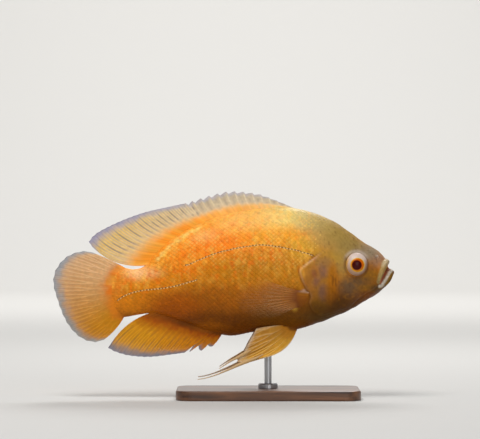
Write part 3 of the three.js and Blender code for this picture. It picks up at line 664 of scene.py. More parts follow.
class Markings:
    """The fish's colours as a rule of place, shared by skin and scales, painted shade and highlights included.
    """

    def __init__(self, form: BodyForm, relief: Relief) -> None:
        """Keeps the form and the features whose edges the colours follow."""
        self.form, self.relief = form, relief

    @staticmethod
    def patches(flank: Array, base: Array, spots: tuple) -> Array:
        """Lays soft-edged ellipses over colours, each fading as e to the minus distance to the fourth."""
        for x, z, long, high, code, strength in spots:
            far = ((flank[:, 0] - x) / long) ** 2 + ((flank[:, 1] - z) / high) ** 2
            base = blend(base, colour(code), strength * np.exp(-(far**1.5) * 0.7))
        return base

    def paint(self, points: Array) -> Array:
        """The colour at each point of the body, with its painted shade and highlights.

        Args:
            points: places on the body.

        Returns:
            Linear red, green and blue for each.
        """
        flank = points[:, [0, 2]]
        x, z = flank.T
        back = np.interp(x, *self.form.ribs[:, :2].T)
        belly = np.interp(x, *self.form.ribs[:, 2:4].T)
        high = np.clip((z - belly) / np.maximum(back - belly, 1), 0, 1)
        # Darker towards the belly and lighter towards the back: partly the fish's own colour, partly painted
        # shade under light from above.
        base = blend(colour("86480a"), colour("cf7c12"), smooth(high, 0.05, 0.5))
        base = blend(base, colour("f79a2c"), smooth(high, 0.5, 0.9))
        wobble = flank + 3.0 * (np.stack([noise(points, 9, 1), noise(points, 9, 2)], -1) - 0.5)
        base = self.patches(wobble, base, PATCHES)
        depth = self.relief.gill_depth(flank)
        gill = self.patches(wobble, base, GILL_PATCHES)
        base = blend(base, gill, np.where(x < 44, smooth(depth, -0.4, 0.2), smooth(depth, 0, 7)))
        base = self.gill_rim(points, depth, base)
        # The head is darkened, more so towards the chin: partly its own duller tone, partly painted shade under
        # light from above.
        base = base * (1 - smooth(x, 16, 44) * (0.2 + 0.28 * smooth(-z, -40, -12)))[:, None]
        lines = smooth(noise(points, np.array([0.9, 9, 8.0]), 3), 0.45, 0.75)
        region = np.exp(-(((x - 53) / 5) ** 2 + ((z - 36) / 13) ** 2) ** 1.5)
        base = base * (1 - 0.4 * lines * region)[:, None]
        base = self.mouth(flank, points, base)
        base = self.eye_ring(flank, base)
        # A broken pale yellow streak along the crease: partly the fish's own yellow, partly a painted
        # highlight.
        _, gap, _ = nearest(flank, curve(np.array(CREASE), np.linspace(0, 1, 30)))
        broken = smooth(noise(points, np.array([3.0, 4, 2.0]), 16), 0.15, 0.7)
        base = blend(base, colour("ffda78"), 0.9 * broken * bell(gap, 0, 1.9))
        return self.mottle(points, high, base)

    @staticmethod
    def gill_rim(points: Array, depth: Array, base: Array) -> Array:
        """A pale streaky line along the gill cover's rim, partly its own pale edge and partly a painted
        highlight strongest above, and a dark line outside it, a painted shadow.
        """
        x, z = points[:, 0], points[:, 2]
        rear = smooth(-x, -46, -36) * (0.45 + 0.55 * smooth(z, 18, 32))
        streak = (0.4 + 0.6 * noise(points, 4, 12)) * (0.3 + 0.7 * smooth(z, 34, 50))
        # Pale rim, strongest above: partly its own pale edge, partly a painted highlight.
        base = blend(base, colour("d8b088"), 0.75 * streak * rear * bell(depth, 0.7, 0.8))
        # Dark line just outside the rim: a painted shadow under its edge.
        return blend(base, colour("5a3008"), 0.55 * rear * bell(depth, -0.6, 0.6))

    def mouth(self, flank: Array, points: Array, base: Array) -> Array:
        """Colours of the lips, the skin between them and the jaw's edge, with a painted highlight on the upper
        lip's top.
        """
        plan = self.relief.plan
        _, upper, _ = nearest(points, self.relief.lip(plan.upper_lip, plan.upper_front))
        _, lower, _ = nearest(points, self.relief.lip(plan.lower_lip, plan.lower_front))
        _, cleft, along = nearest(flank, curve(np.array(plan.mouth), np.linspace(0, 1, 40)))
        base = blend(base, colour("a08a56"), 0.9 * (1 - smooth(upper, 1.6, 3.6)))
        # The upper lip's top is paler: a painted highlight over its own pale colour.
        front = smooth(flank[:, 1], 50, 55)
        base = blend(base, colour("bcaa88"), 0.8 * front * (1 - smooth(upper, 1.8, 4.0)))
        base = blend(base, colour("86621e"), 0.9 * (1 - smooth(lower, 2.4, 4.2)) * (lower < upper))
        rim = smooth(cleft, 0.6, 1.3) * (1 - smooth(cleft, 2.8, 4.4)) * (1 - smooth(lower, 2.8, 4.2))
        base = blend(base, colour("d8cebe"), 0.9 * rim * (lower < upper))
        inside = smooth(flank[:, 0], 90, 92) * (1 - smooth(cleft, 0.7, 1.5))
        return blend(base, colour("a45c40"), 0.95 * inside)

    def eye_ring(self, flank: Array, base: Array) -> Array:
        """The skin round the eye: a pale patch above it, partly its own pale tone and partly a painted
        highlight, and a dark seam under it, a painted shadow.
        """
        (ex, ez), half = self.relief.plan.eye, self.relief.plan.eye_half
        polar = np.hypot((flank[:, 0] - ex) / half[0], (flank[:, 1] - ez) / half[2])
        above = smooth(flank[:, 1], ez + 2, ez + 9)
        # Pale patch above the eye: partly own pale tone, partly painted highlight.
        base = blend(base, colour("b5a394"), 0.75 * above * bell(polar, 1.1, 0.14))
        # Dark seam under the eye: painted shadow.
        return blend(base, colour("5e3620"), 0.6 * (1 - above) * bell(polar, 1.04, 0.09))

    @staticmethod
    def mottle(points: Array, high: Array, base: Array) -> Array:
        """Yellow and red-orange flecks on the flank and a fine unevenness everywhere."""
        x, z = points[:, 0], points[:, 2]
        trunk = smooth(-x, -46, -30)
        pale = smooth(noise(points, np.array([2.4, 4, 5.0]), 6), 0.5, 0.8) * smooth(high, 0.25, 0.6)
        base = blend(base, colour("f8b848"), trunk * 0.4 * pale)
        red = smooth(noise(points, np.array([2.2, 4, 3.4]), 7), 0.52, 0.8) * bell(high, 0.66, 0.26)
        base = blend(base, colour("f06c0c"), trunk * (0.5 - 0.25 * smooth(x, -10, 25)) * red)
        head = 1 - trunk
        low = smooth(-z, -64, -52) * smooth(z, 16, 26)
        golden = smooth(noise(points, np.array([1.8, 2, 1.8]), 15), 0.5, 0.9)
        base = blend(base, colour("c47c18"), head * low * 0.2 * golden)
        base = blend(base, colour("5c3820"), head * 0.35 * smooth(noise(points, 1.7, 8), 0.64, 0.92))
        return base * (0.86 + 0.28 * noise(points, 1.3, 9))[:, None]


@dataclass(frozen=True)
class Skin:
    """One skin over head, gill covers, trunk and tail stalk."""

    form: BodyForm
    relief: Relief
    markings: Markings
    steps: int = 22
    round_steps: int = 216
    head_from: float = 18

    def surface(self) -> Array:
        """The dressed surface by place along and round the body.

        The loft is moved along its normals on the head, and narrowed to a blade that sinks into the tail fin.
        """
        share = np.linspace(0, 1, (len(self.form.ribs) - 1) * self.steps + 1)
        turn = np.arange(self.round_steps) / self.round_steps
        grid = self.form.loft(share, turn)
        normals = grid_normals(grid, ring=True)
        normals *= np.sign((normals[..., 1] * grid[..., 1]).sum())
        bare, normals = grid.reshape(-1, 3), normals.reshape(-1, 3)
        head = bare[:, 0] > self.head_from
        move = np.zeros(len(bare))
        move[head] = self.relief.height(bare[head], normals[head])
        dressed = bare + normals * move[:, None]
        root = np.hypot(*(bare[:, [0, 2]] - TAIL_MIDDLE).T)
        dressed[:, 1] *= 1 - 0.9 * smooth(root, 30, 40) * (bare[:, 0] < TAIL_MIDDLE[0])
        return dressed.reshape(grid.shape)

    def build(self, finish: bpy.types.Material) -> Array:
        """Makes the skin's piece.

        Args:
            finish: its material.

        Returns:
            The grid of its points, for the scales.
        """
        grid = self.surface()
        ends = np.stack([grid[0].mean(0), grid[-1].mean(0) + [0.15, 0, 0]])
        points = np.vstack([grid.reshape(-1, 3), ends])
        faces = faces_out(points, capped(*grid.shape[:2]))
        make_piece("skin", points, faces, opaque(self.markings.paint(points)), finish,
                   ("head", "lower_jaw", "torso", "tail_peduncle", "gill_cover_left", "gill_cover_right"))
        return grid


class FlankMap:
    """One flank laid flat: s runs forward along its widest line, and t up or down the surface from there."""

    STEP = 0.75
    REACH = 78

    def __init__(self, grid: Array, side: Side) -> None:
        """Measures the skin of one side, section by section.

        Args:
            grid: the skin's points by place along and round the body.
            side: which side.
        """
        half = grid.shape[1] // 2
        left, right = grid[:, :half + 1], np.concatenate([grid[:, :1], grid[:, :half - 1:-1]], 1)
        lines = left if side is Side.LEFT else right
        run = np.cumsum(np.linalg.norm(np.diff(lines, axis=1, prepend=lines[:, :1]), axis=-1), 1)
        rise = run[:, half // 2, None] - run
        self.levels = np.arange(-self.REACH, self.REACH + self.STEP, self.STEP)
        self.table = np.stack([
            np.stack([np.interp(self.levels, level[::-1], line[::-1, k]) for k in range(3)], -1)
            for level, line in zip(rise, lines)])
        middle = lines[:, half // 2]
        self.run = np.cumsum(np.linalg.norm(np.diff(middle, axis=0, prepend=middle[:1]), axis=1))
        self.top, self.bottom = rise[:, 0], rise[:, -1]
        normals = grid_normals(self.table, ring=False)
        self.normals = normals * np.sign(normals[..., 1:2].sum()) * side.value

    def pick(self, values: Array, s: Array, t: Array) -> Array:
        """Values of a table between its cells, mixed from the four corners round each place."""
        i = np.clip(np.interp(s, self.run, np.arange(len(self.run))), 0, len(self.run) - 1.001)
        j = np.clip((t - self.levels[0]) / self.STEP, 0, len(self.levels) - 1.001)
        i0, j0 = i.astype(int), j.astype(int)
        a, b = (i - i0)[..., None], (j - j0)[..., None]
        near = values[i0, j0] * (1 - b) + values[i0, j0 + 1] * b
        far = values[i0 + 1, j0] * (1 - b) + values[i0 + 1, j0 + 1] * b
        return near * (1 - a) + far * a

    def raised(self, s: Array, t: Array, height: Array) -> Array:
        """Points at a height over the skin: the point of the skin plus height times its normal."""
        return self.pick(self.table, s, t) + self.pick(self.normals, s, t) * height[..., None]

    def find(self, flank: Array) -> tuple[Array, Array]:
        """The s and t of side-view points, from the closest cell of the table."""
        cells = self.table[::2, :, [0, 2]]
        gap = ((flank[:, None, None] - cells) ** 2).sum(-1).reshape(len(flank), -1)
        i, j = np.unravel_index(gap.argmin(1), cells.shape[:2])
        return self.run[i * 2], self.levels[j]


# How far forward the scales reach at each height of the side view
SCALES_FRONT = {-10: 40, 5: 38, 15: 33, 30: 30, 45: 27, 60: 36, 68: 43, 80: 50, 95: 52, 102: 50}


@dataclass(frozen=True)
class ScaleCoat:
    """Overlapping scales in slanting rows, and the pored tubes of the broken side line."""

    relief: Relief
    markings: Markings
    pitch: float = 3.7
    row: float = 1.75
    length: float = 6.0
    width: float = 4.1
    rise: float = 0.16
    sunk: float = 0.25
    margin: float = 0.9
    last_x: float = -131
    dome_pitch: float = 1.3
    dome_height: float = 0.42

    def centres(self, flank: FlankMap) -> Array:
        """The s and t of each scale: every other crossing of evenly spaced lines, where there are scales."""
        columns, rows = np.arange(4, flank.run[-1], self.pitch / 2), np.arange(-70, 70, self.row)
        s, t = np.meshgrid(columns, rows, indexing="ij")
        crossing = np.add.outer(np.arange(s.shape[0]), np.arange(s.shape[1])) % 2 == 0
        s, t = s[crossing], t[crossing]
        jitter = noise(np.stack([s, t, 0 * s], -1), 1.0, 41) - 0.5
        s, t = s + 0.35 * jitter, t + 0.25 * jitter
        place = flank.pick(flank.table, s, t)
        x, z = place[:, 0], place[:, 2]
        front = np.interp(z, list(SCALES_FRONT), list(SCALES_FRONT.values()))
        top = np.interp(s, flank.run, flank.top) - self.margin
        bottom = np.interp(s, flank.run, flank.bottom) + self.margin
        clear_of_gill = self.relief.gill_depth(place[:, [0, 2]]) < -1.2
        clear_of_fin = np.hypot((x - 25) / 5, (z - 26) / 8) >= 1
        keep = (x < front) & (x > self.last_x) & (t < top) & (t > bottom) & clear_of_gill & clear_of_fin
        return np.stack([s, t], -1)[keep]

    def build(self, flank: FlankMap, finish: bpy.types.Material, side: Side) -> None:
        """Makes one side's scales as one piece.

        A scale is a small grid: its outline is an ellipse cut off in front, its surface rises from under the
        skin in front to its free rear edge, and a last row drops from that edge back into the skin.

        Args:
            flank: the side laid flat.
            finish: the scales' material.
            side: which side it is.
        """
        centre = self.centres(flank)
        b = np.array([0, 0.2, 0.42, 0.64, 0.84, 1.0, 1.0])[None, :, None]
        a = np.linspace(-1, 1, 7)[None, None]
        drop = np.array([0, 0, 0, 0, 0, 0, 1])[None, :, None]
        s0, t0 = centre[:, 0, None, None], centre[:, 1, None, None]
        place = flank.pick(flank.table, centre[:, 0], centre[:, 1])
        small = 1 - 0.25 * smooth(-place[:, 0], 80, 125) - 0.3 * smooth(place[:, 0], 18, 46)
        small = small[:, None, None]
        half = np.sqrt(np.maximum(0, 1 - ((b - 0.45) / 0.62) ** 2))
        s = s0 + small * self.length * (0.35 - b * (1 - 0.16 * a**2))
        t = t0 + small * self.width / 2 * a * half
        swell = (self.rise * small + self.sunk) * b**0.8 * (1 - 0.45 * a**4)
        height = swell * (1 - drop) - self.sunk - 0.05 * drop
        points = flank.raised(s, t, height + 0 * s)
        faces = many_lattices(7, 7, len(centre), side is Side.LEFT)
        paint = opaque(self.paint(points, place, b, a)).reshape(-1, 4)
        across = s0 / flank.run[-1] * 0.46 + (0.02 if side is Side.LEFT else 0.52)
        upward = (t0 + 80) / 160 * 0.9 + 0.05
        bake = np.stack([across + 0.003 * b + 0 * t, upward + 0.0015 * a + 0 * s], -1)
        make_piece(f"scales_{side.word}", points.reshape(-1, 3), faces, paint, finish, (),
                   bake.reshape(-1, 2))

    def paint(self, points: Array, place: Array, b: Array, a: Array) -> Array:
        """The body's colours with each scale a little different and paler at its rim, and red-orange flecks on
        the upper rear flank.
        """
        base = self.markings.paint(points.reshape(-1, 3)).reshape(points.shape)
        own = noise(place, 0.9, 42)[:, None, None]
        warm = noise(place, np.array([2.5, 2.5, 6.0]), 43)[:, None, None]
        base = base * (0.84 + 0.32 * own)[..., None]
        upper_rear = smooth(place[:, 2], 30, 55) * smooth(-place[:, 0], -20, 20)
        fleck = upper_rear * smooth(noise(place, 1.1, 44), 0.6, 0.9)
        base = blend(base, colour("f0700c"), 0.3 * fleck[:, None, None] + 0 * b + 0 * a)
        pale = smooth(place[:, 2], 25, 75)[:, None, None] * smooth(warm, 0.4, 0.75)
        rim = smooth(b, 0.6, 0.95) * (1 - 0.6 * a**2)
        return blend(base, colour("ffd468"), 0.45 * rim * pale)

    def side_line(self, flank: FlankMap, finish: bpy.types.Material, side: Side) -> None:
        """Makes the side line's tubes: low domes, a pale one over each scale and a dark one behind it."""
        long, wide = 6, 5
        b, a = np.linspace(-1, 1, long)[None, :, None], np.linspace(-1, 1, wide)[None, None]
        domes, tones = [], []
        for knots in (np.array(LATERAL_UPPER), np.array(LATERAL_LOWER)):
            line = curve(knots, np.linspace(0, 1, 200))
            count = int(np.linalg.norm(np.diff(line, axis=0), axis=1).sum() / self.dome_pitch)
            found = flank.find(evenly(knots, np.linspace(0, 1, count)))
            s, t = (np.convolve(np.pad(value, 2, "edge"), np.ones(5) / 5, "valid") for value in found)
            slope = np.gradient(t) / np.minimum(np.gradient(s), -1e-6)
            dark = np.arange(count) % 2 == 0
            vary = noise(np.stack([s, t, 0 * s], -1), 1.7, 45)
            size = np.where(dark, 1.05, 0.95) * (0.65 + 0.6 * vary)
            down = np.where(dark, 0, 0.45)
            s, t, slope, size, down = (value[:, None, None] for value in (s, t, slope, size, down))
            along, over = b * size * 0.85, a * 0.5 * np.sqrt(np.maximum(0, 1.02 - b**2))
            height = 0.1 + self.dome_height * (1 - a**2) * (1 - b**2) + 0 * along
            domes.append(flank.raised(s + along, t + slope * along + over - down, height).reshape(-1, 3))
            tone = blend(colour("f0c880") + np.zeros((count, 3)), colour("643018"), dark * (0.6 + 0.4 * vary))
            tones.append(np.repeat(tone, long * wide, axis=0))
        points, paint = np.vstack(domes), opaque(np.vstack(tones))
        faces = many_lattices(long, wide, len(points) // (long * wide), side is Side.RIGHT)
        make_piece(f"side_line_{side.word}", points, faces, paint, finish, ())


@dataclass(frozen=True)
class FinPaint:
    """A fin's colours from its root to its edge, with its rays, the dashes between them and its opacity.

    Middle, edge and ray each give the colour at the first ray and at the last.
    """

    root: str
    middle: tuple[str, str]
    edge: tuple[str, str]
    ray: tuple[str, str]
    dash: str
    dash_strength: float = 0.4
    ray_strength: float = 0.45
    edge_start: float = 0.82
    root_end: float = 0.25
    web_opacity: tuple[float, float] = (1.0, 0.8)
    ray_opacity: float = 0.7
    flesh_end: float = 0.12
    clear_from: float = 0.5
    first_ray: float = 1.0
    hem: float = 0.0
    ray_fade: float = 0.5

    @staticmethod
    def mix(codes: tuple[str, str], across: Array) -> Array:
        """A colour that goes from the first ray's to the last ray's."""
        return blend(colour(codes[0]), colour(codes[1]), smooth(across, 0.15, 0.85))


@dataclass(frozen=True)
class Fin:
    """A fin of rays and webs: each ray runs from its root to its tip, and the web is drawn between them."""

    name: str
    slot: Slot
    nodes: tuple[str, ...]
    roots: Array
    tips: Array
    paint: FinPaint
    spines: int = 0
    notch: float = 0.15
    bow: Array | float = 0.0
    normal: tuple[float, float, float] = (0, 1, 0)
    sway: Callable[[Array, Array], Array] = lambda u, v: 0 * u * v
    sheath: tuple[float, float] = (0.0, 0.3)
    web: tuple[float, float] = (0.4, 0.14)
    ray_half: tuple[float, float] = (0.42, 0.12)
    per_ray: int = 12
    rows: int = 52
    sink: float = 4.0

    def middle_sheet(self) -> tuple[Array, Array, Array]:
        """The fin's middle surface and each point's ray number and share of the way out.

        A point is its root plus its share of the reach, bowed by a parabola and moved by the sway.
        """
        count = len(self.roots)
        q = np.linspace(0, count - 1, (count - 1) * self.per_ray + 1)[:, None]
        v = np.linspace(0, 1, self.rows)[None]
        root, tip = between(self.roots, q), between(self.tips, q)
        phase = q - np.floor(q)
        spiny = q < self.spines
        free = np.where(phase > 0.86, (phase - 0.86) / 0.14, 0)
        notch = np.where(spiny, self.notch * phase**1.3 * (1 - free), 0.008 * np.sin(np.pi * phase) ** 2)
        reach = (tip - root) * (1 - notch)[..., None]
        normal = np.array(self.normal) / np.linalg.norm(self.normal)
        bend = np.cross(normal, reach)
        bow = np.interp(q, np.linspace(0, count - 1, np.size(self.bow)), np.atleast_1d(self.bow))
        sheet = root + reach * v[..., None] + bend * (bow * 4 * v * (1 - v))[..., None]
        sheet = sheet + normal * self.sway(q / (count - 1), v)[..., None]
        return sheet, np.broadcast_to(q, sheet.shape[:2]), np.broadcast_to(v, sheet.shape[:2])

    def ridges(self, sheet: Array, q: Array, v: Array) -> Array:
        """How much of a ray there is at each point: a bell across each branch. Soft rays fork twice.

        Args:
            sheet: the middle surface.
            q: ray numbers.
            v: shares of the way out.

        Returns:
            Values from 0 between rays to 1 on one.
        """
        spread = np.linalg.norm(np.gradient(sheet, axis=0), axis=-1) * self.per_ray
        phase = q - np.round(q)
        soft = np.round(q) >= self.spines
        first = 0.24 * smooth(v, 0.34, 0.62) * soft
        second = 0.1 * smooth(v, 0.68, 0.9) * soft
        total = np.zeros(q.shape)
        width = np.maximum(0.42 - 0.16 * v, 1.05 * spread / self.per_ray)
        for side, small in itertools.product((-1, 1), repeat=2):
            far = (phase - side * first - small * second) * spread
            total = np.maximum(total, np.exp(-(far / width) ** 2))
        return total * smooth(v, 0.0, 1.6 * self.paint.root_end)

    def colours(self, points: Array, q: Array, v: Array, ridge: Array, body: Array) -> Array:
        """Colour and opacity over the fin, root to edge, with dashes between the rays and paler rays."""
        paint = self.paint
        across = q / max(q.max(), 1)
        middle = paint.mix(paint.middle, across)
        grain = noise(points, 3.0, 21) - 0.5
        base = blend(colour(paint.root) + 0 * middle, middle, smooth(v + 0.12 * grain, 0.02, paint.root_end))
        phase = np.abs(q - np.round(q))
        gaps = np.stack([np.floor(q) * 1.7, v * 5.0, 0 * v], -1)
        dash = smooth(phase, 0.22, 0.5) * smooth(noise(gaps, 1.0, 22), 0.2, 0.6)
        dash = dash * np.where(q < self.spines - 1, 0.4, 1.0)
        base = blend(base, colour(paint.dash), paint.dash_strength * dash * smooth(v, 0.2, 0.6))
        base = blend(base, paint.mix(paint.ray, across), paint.ray_strength * ridge * smooth(v, 0.05, 0.4))
        rim = paint.mix(paint.edge, across)
        base = blend(base, rim, smooth(v + 0.08 * grain, paint.edge_start, 1.0))
        outer = 1 - smooth(np.minimum(q, q.max() - q), 0, 0.3)
        base = blend(base, rim, paint.hem * smooth(v, 0.1, 0.4) * outer)
        base = base * (0.9 + 0.2 * noise(points, 1.4, 23))[..., None]
        base = blend(body, base, smooth(v + 0.06 * grain, paint.flesh_end * 0.3, paint.flesh_end * 1.7))
        near, far = paint.web_opacity
        web = near + (far - near) * smooth(v, paint.clear_from, 0.9)
        ray = paint.first_ray + (1 - paint.first_ray) * smooth(across, 0.1, 0.6)
        ray = ray * paint.ray_opacity * (1 - paint.ray_fade * v)
        opacity = web + (1 - web) * ray * ridge
        return np.concatenate([base, opacity[..., None]], -1)

    def half_thickness(self, q: Array, v: Array, ridge: Array) -> Array:
        """Half the fin's thickness: web and rays taper outwards, and flesh swells the root."""
        web = self.web[0] + (self.web[1] - self.web[0]) * v**0.6
        rays = ridge * (self.ray_half[0] + (self.ray_half[1] - self.ray_half[0]) * v)
        ends = 0.35 + 0.65 * smooth(np.minimum(q, q.max() - q), 0, 0.35)
        return (web + rays) * ends + self.sheath[0] * np.maximum(0, 1 - v / self.sheath[1]) ** 1.5

    def build(self, finish: bpy.types.Material, markings: Markings) -> None:
        """Makes the fin as a closed shell: both faces of the thickened sheet, and walls round its rim."""
        sheet, q, v = self.middle_sheet()
        ridge = self.ridges(sheet, q, v)
        half = self.half_thickness(q, v, ridge)
        normal = grid_normals(sheet, ring=False)
        normal *= np.sign((normal @ np.array(self.normal)).sum())
        step = sheet[:, 1:2] - sheet[:, :1]
        length = np.linalg.norm(step, axis=-1, keepdims=True)
        heel = sheet[:, :1] - self.sink * step / np.maximum(length, 1e-6)
        sheet = np.concatenate([heel, sheet], 1)
        normal, half, q, v, ridge = (np.concatenate([a[:, :1], a], 1) for a in (normal, half, q, v, ridge))
        offset = normal * half[..., None]
        rows, columns = sheet.shape[:2]
        points = np.vstack([(sheet + offset).reshape(-1, 3), (sheet - offset).reshape(-1, 3)])
        size = rows * columns
        number = np.arange(size).reshape(rows, columns)
        rim = np.concatenate([number[:, 0], number[-1, 1:], number[-2::-1, -1], number[0, -2:0:-1]])
        after = np.roll(rim, -1)
        front = lattice(rows, columns)
        walls = np.stack([rim, after, after + size, rim + size], -1)
        faces = front.tolist() + (front[:, ::-1] + size).tolist() + walls[:, ::-1].tolist()
        body = np.repeat(markings.paint(sheet[:, 2])[:, None], columns, 1)
        paint = self.colours(sheet, q, v, ridge, body).reshape(-1, 4)
        make_piece(self.name, points, faces_out(points, faces), np.vstack([paint, paint]), finish,
                   self.nodes)

    def other_side(self, name: str, nodes: tuple[str, ...]) -> Fin:
        """The same fin mirrored in the fish's middle plane."""
        flip = np.array([1, -1, 1])
        return replace(self, name=name, nodes=nodes, roots=self.roots * flip, tips=self.tips * flip,
                       bow=-np.atleast_1d(self.bow), normal=tuple(np.array(self.normal) * flip))


class FinSet:
    """All the fins, rooted on the body's form."""

    def __init__(self, form: BodyForm) -> None:
        """Keeps the form that the fins grow from."""
        self.form = form

    def on_line(self, xs: tuple[float, ...], top: bool) -> Array:
        """Points of the back or belly line at given x."""
        fine = curve(self.form.ribs[:, :2] if top else self.form.ribs[:, 2:4], np.linspace(0, 1, 900))
        return flat([(x, float(np.interp(x, fine[:, 0], fine[:, 1]))) for x in xs])

    def dorsal(self) -> Fin:
        """The long fin of the back: thirteen spines with free tips, then twenty soft rays."""
        root = self.on_line((22, 2, -24, -50, -68, -83, -94, -101), top=True)
        bow = np.r_[np.full(13, -0.04), np.linspace(-0.04, -0.12, 20)]
        fine = evenly(root, np.linspace(0, 1, 400))
        split = float(np.interp(53, -fine[:, 0], np.linspace(0, 1, 400)))
        spiny = flat([(20.7, 99.4), (4.6, 106.3), (-9.8, 111), (-30.7, 112.8), (-45.8, 109.8), (-62, 104.9)])
        soft = flat([(-67.5, 103), (-84.5, 99.4), (-101, 95.6), (-117.3, 89.9), (-132, 83.3), (-141.6, 77.8),
                     (-147, 71.4), (-144.4, 67.6)])
        roots = np.vstack([evenly(root, np.linspace(0, 1, 13) * split * 0.96),
                           evenly(root, split + np.linspace(0, 1, 20) * (1 - split))])
        tips = np.vstack([evenly(spiny, np.linspace(0, 1, 13)), evenly(soft, np.linspace(0, 1, 20))])
        paint = FinPaint("ffc470", ("d4c4a4", "e4c494"), ("c8c2c4", "aca8c0"), ("f0e0c0", "fad060"), "5c5064",
                         dash_strength=0.56, ray_strength=0.85, edge_start=0.78, root_end=0.55,
                         web_opacity=(1.0, 0.75), flesh_end=0.26)
        return Fin("dorsal_fin_dressed", Slot.PALE_FIN, ("dorsal_fin",), roots, tips, paint, spines=13,
                   notch=0.15, bow=bow, sway=lambda u, v: 2.2 * v * smooth(u, 0.35, 1), sheath=(1.6, 0.42),
                   per_ray=11, rows=46)

    def anal(self) -> Fin:
        """The fin under the tail's stalk: three spines and sixteen soft rays."""
        root = self.on_line((-38, -58, -78, -97), top=False)
        edge = flat([(-45.5, -14.3), (-55.6, -18.2), (-63, -18.8), (-80.4, -21.2), (-97, -23), (-113, -22),
                     (-123.5, -19.3), (-131, -15.6), (-128.4, -11.6)])
        share = np.linspace(0, 1, 19)
        number = np.arange(19)
        out = np.where(number < 3, share * 1.9, share * (1.9 - 0.9 * np.clip((number - 1) / 5, 0, 1)))
        paint = FinPaint("b04c04", ("d07c08", "d08c10"), ("84828e", "84828e"), ("e8a01c", "f0b430"), "7c5a38",
                         ray_strength=0.6, edge_start=0.78, root_end=0.5, web_opacity=(1.0, 0.75))
        return Fin("anal_fin_dressed", Slot.YELLOW_FIN, ("anal_fin",), evenly(root, share),
                   evenly(edge, np.minimum(out, 1)), paint, spines=3, notch=0.4, bow=-0.04 + 0.13 * share,
                   sway=lambda u, v: -1.6 * v * smooth(u, 0.2, 1), sheath=(1.5, 0.4), rows=40)

    def caudal(self) -> Fin:
        """The rounded tail fin."""
        share = np.linspace(0, 1, 17)
        turn = 0.68 - 1.36 * share
        x, z = TAIL_MIDDLE
        roots = np.stack([x - TAIL_ROOT * np.cos(turn), 0 * turn, z + TAIL_ROOT * np.sin(turn)], -1)
        edge = flat([(-144, 62.6), (-151, 63.7), (-158.3, 62.4), (-165.6, 58.9), (-171.4, 53.1),
                     (-175.1, 46.6), (-176.3, 40), (-175.5, 33), (-173, 25), (-170.1, 16.2), (-166.5, 8),
                     (-161.9, 0.8), (-156.6, -5), (-149.2, -9.4), (-142, -10.8), (-134.5, -8.8)])
        paint = FinPaint("d8761c", ("dcac78", "c48010"), ("a4a6aa", "989692"), ("f0cca0", "dc9c34"), "98683a",
                         dash_strength=0.2, ray_strength=0.4, edge_start=0.8, root_end=0.35,
                         web_opacity=(1.0, 0.75), flesh_end=0.14)
        return Fin("caudal_fin_dressed", Slot.YELLOW_FIN, ("caudal_fin",), roots, evenly(edge, share), paint,
                   bow=0.02 - 0.08 * share, sway=lambda u, v: 2.4 * v * v * np.cos(np.pi * u),
                   sheath=(0.9, 0.5), per_ray=14, rows=48, sink=3)

    def pectoral(self) -> Fin:
        """The left breast fin, a see-through fan."""
        share = np.linspace(0, 1, 13)
        x, z = 29 - 3 * share, 31.5 - 12.5 * share
        roots = np.array([[a, self.form.side(a, b) + 0.4, b] for a, b in zip(x, z)])
        level = self.form.side(29, 31.5)
        line = np.array([(-8, 45), (-18.5, 41), (-25.2, 32.5), (-26.2, 23), (-21, 15), (-10.8, 10.8),
                         (1.6, 9.7), (11.5, 12)])
        edge = np.stack([line[:, 0], level + 0.24 * (29 - line[:, 0]), line[:, 1]], -1)
        paint = FinPaint("7c4024", ("b4702c", "b4702c"), ("b08860", "b08860"), ("c49a70", "c8a078"), "9a5a24",
                         dash_strength=0.3, ray_strength=0.75, edge_start=0.8, root_end=0.3,
                         web_opacity=(0.9, 0.0), ray_opacity=0.6, flesh_end=0.08, clear_from=-0.1,
                         first_ray=0.25, ray_fade=0.96)
        return Fin("pectoral_fin_left_dressed", Slot.YELLOW_FIN, ("pectoral_fin_left",), roots,
                   evenly(edge, share), paint, bow=0.05 * (2 * share - 1), normal=(0.24, 1, 0),
                   sway=lambda u, v: 3 * (2 * v * (1 - v) - v * (2 * u - 1) ** 2),
                   sheath=(0.8, 0.3), web=(0.3, 0.12), ray_half=(0.36, 0.12), rows=40)

    def pelvic(self) -> Fin:
        """The left belly fin's blade."""
        front, rear = np.array([23.6, 4.5, 0.2]), np.array([13.5, 9.4, 3.4])
        tips = np.array([(1.6, 15.5, -21.8), (-19, 17.5, -27.2), (-25.6, 17.6, -26), (-21.2, 17, -20.4),
                         (-16.6, 16, -11.5), (-9.8, 14.2, 0.8)])
        roots = front + (rear - front) * np.linspace(0, 1, 6)[:, None]
        paint = FinPaint("c47c1a", ("dca030", "c88c30"), ("d8bc90", "d4b898"), ("ecc878", "e4c08c"), "985c14",
                         dash_strength=0.45, ray_strength=0.5, edge_start=0.85, root_end=0.3,
                         web_opacity=(1.0, 0.85), flesh_end=0.05, hem=0.5)
        bow = np.array([-0.13, -0.1, -0.07, -0.04, -0.02, 0.03])
        return Fin("pelvic_fin_left_dressed", Slot.PALE_FIN, ("pelvic_fin_left",), roots, tips, paint,
                   bow=bow, normal=(0.2, 1, 0.35), sheath=(0.9, 0.2), ray_half=(0.6, 0.2),
                   per_ray=18, rows=44)

    def build(self, markings: Markings) -> None:
        """Makes every fin and the belly fins' threads."""
        finish = WetSkin("fin_web", roughness=0.45, coat=0.07, coat_roughness=0.2, scatter=0.08, grain=1400.0,
                         grain_depth=0.00004, see_through=True).make()
        for fin in (self.dorsal(), self.anal(), self.caudal()):
            fin.build(finish, markings)
        for name, fin in (("pectoral_fin", self.pectoral()), ("pelvic_fin", self.pelvic())):
            fin.build(finish, markings)
            fin.other_side(f"{name}_right_dressed", (f"{name}_right",)).build(finish, markings)
        self.threads(finish)

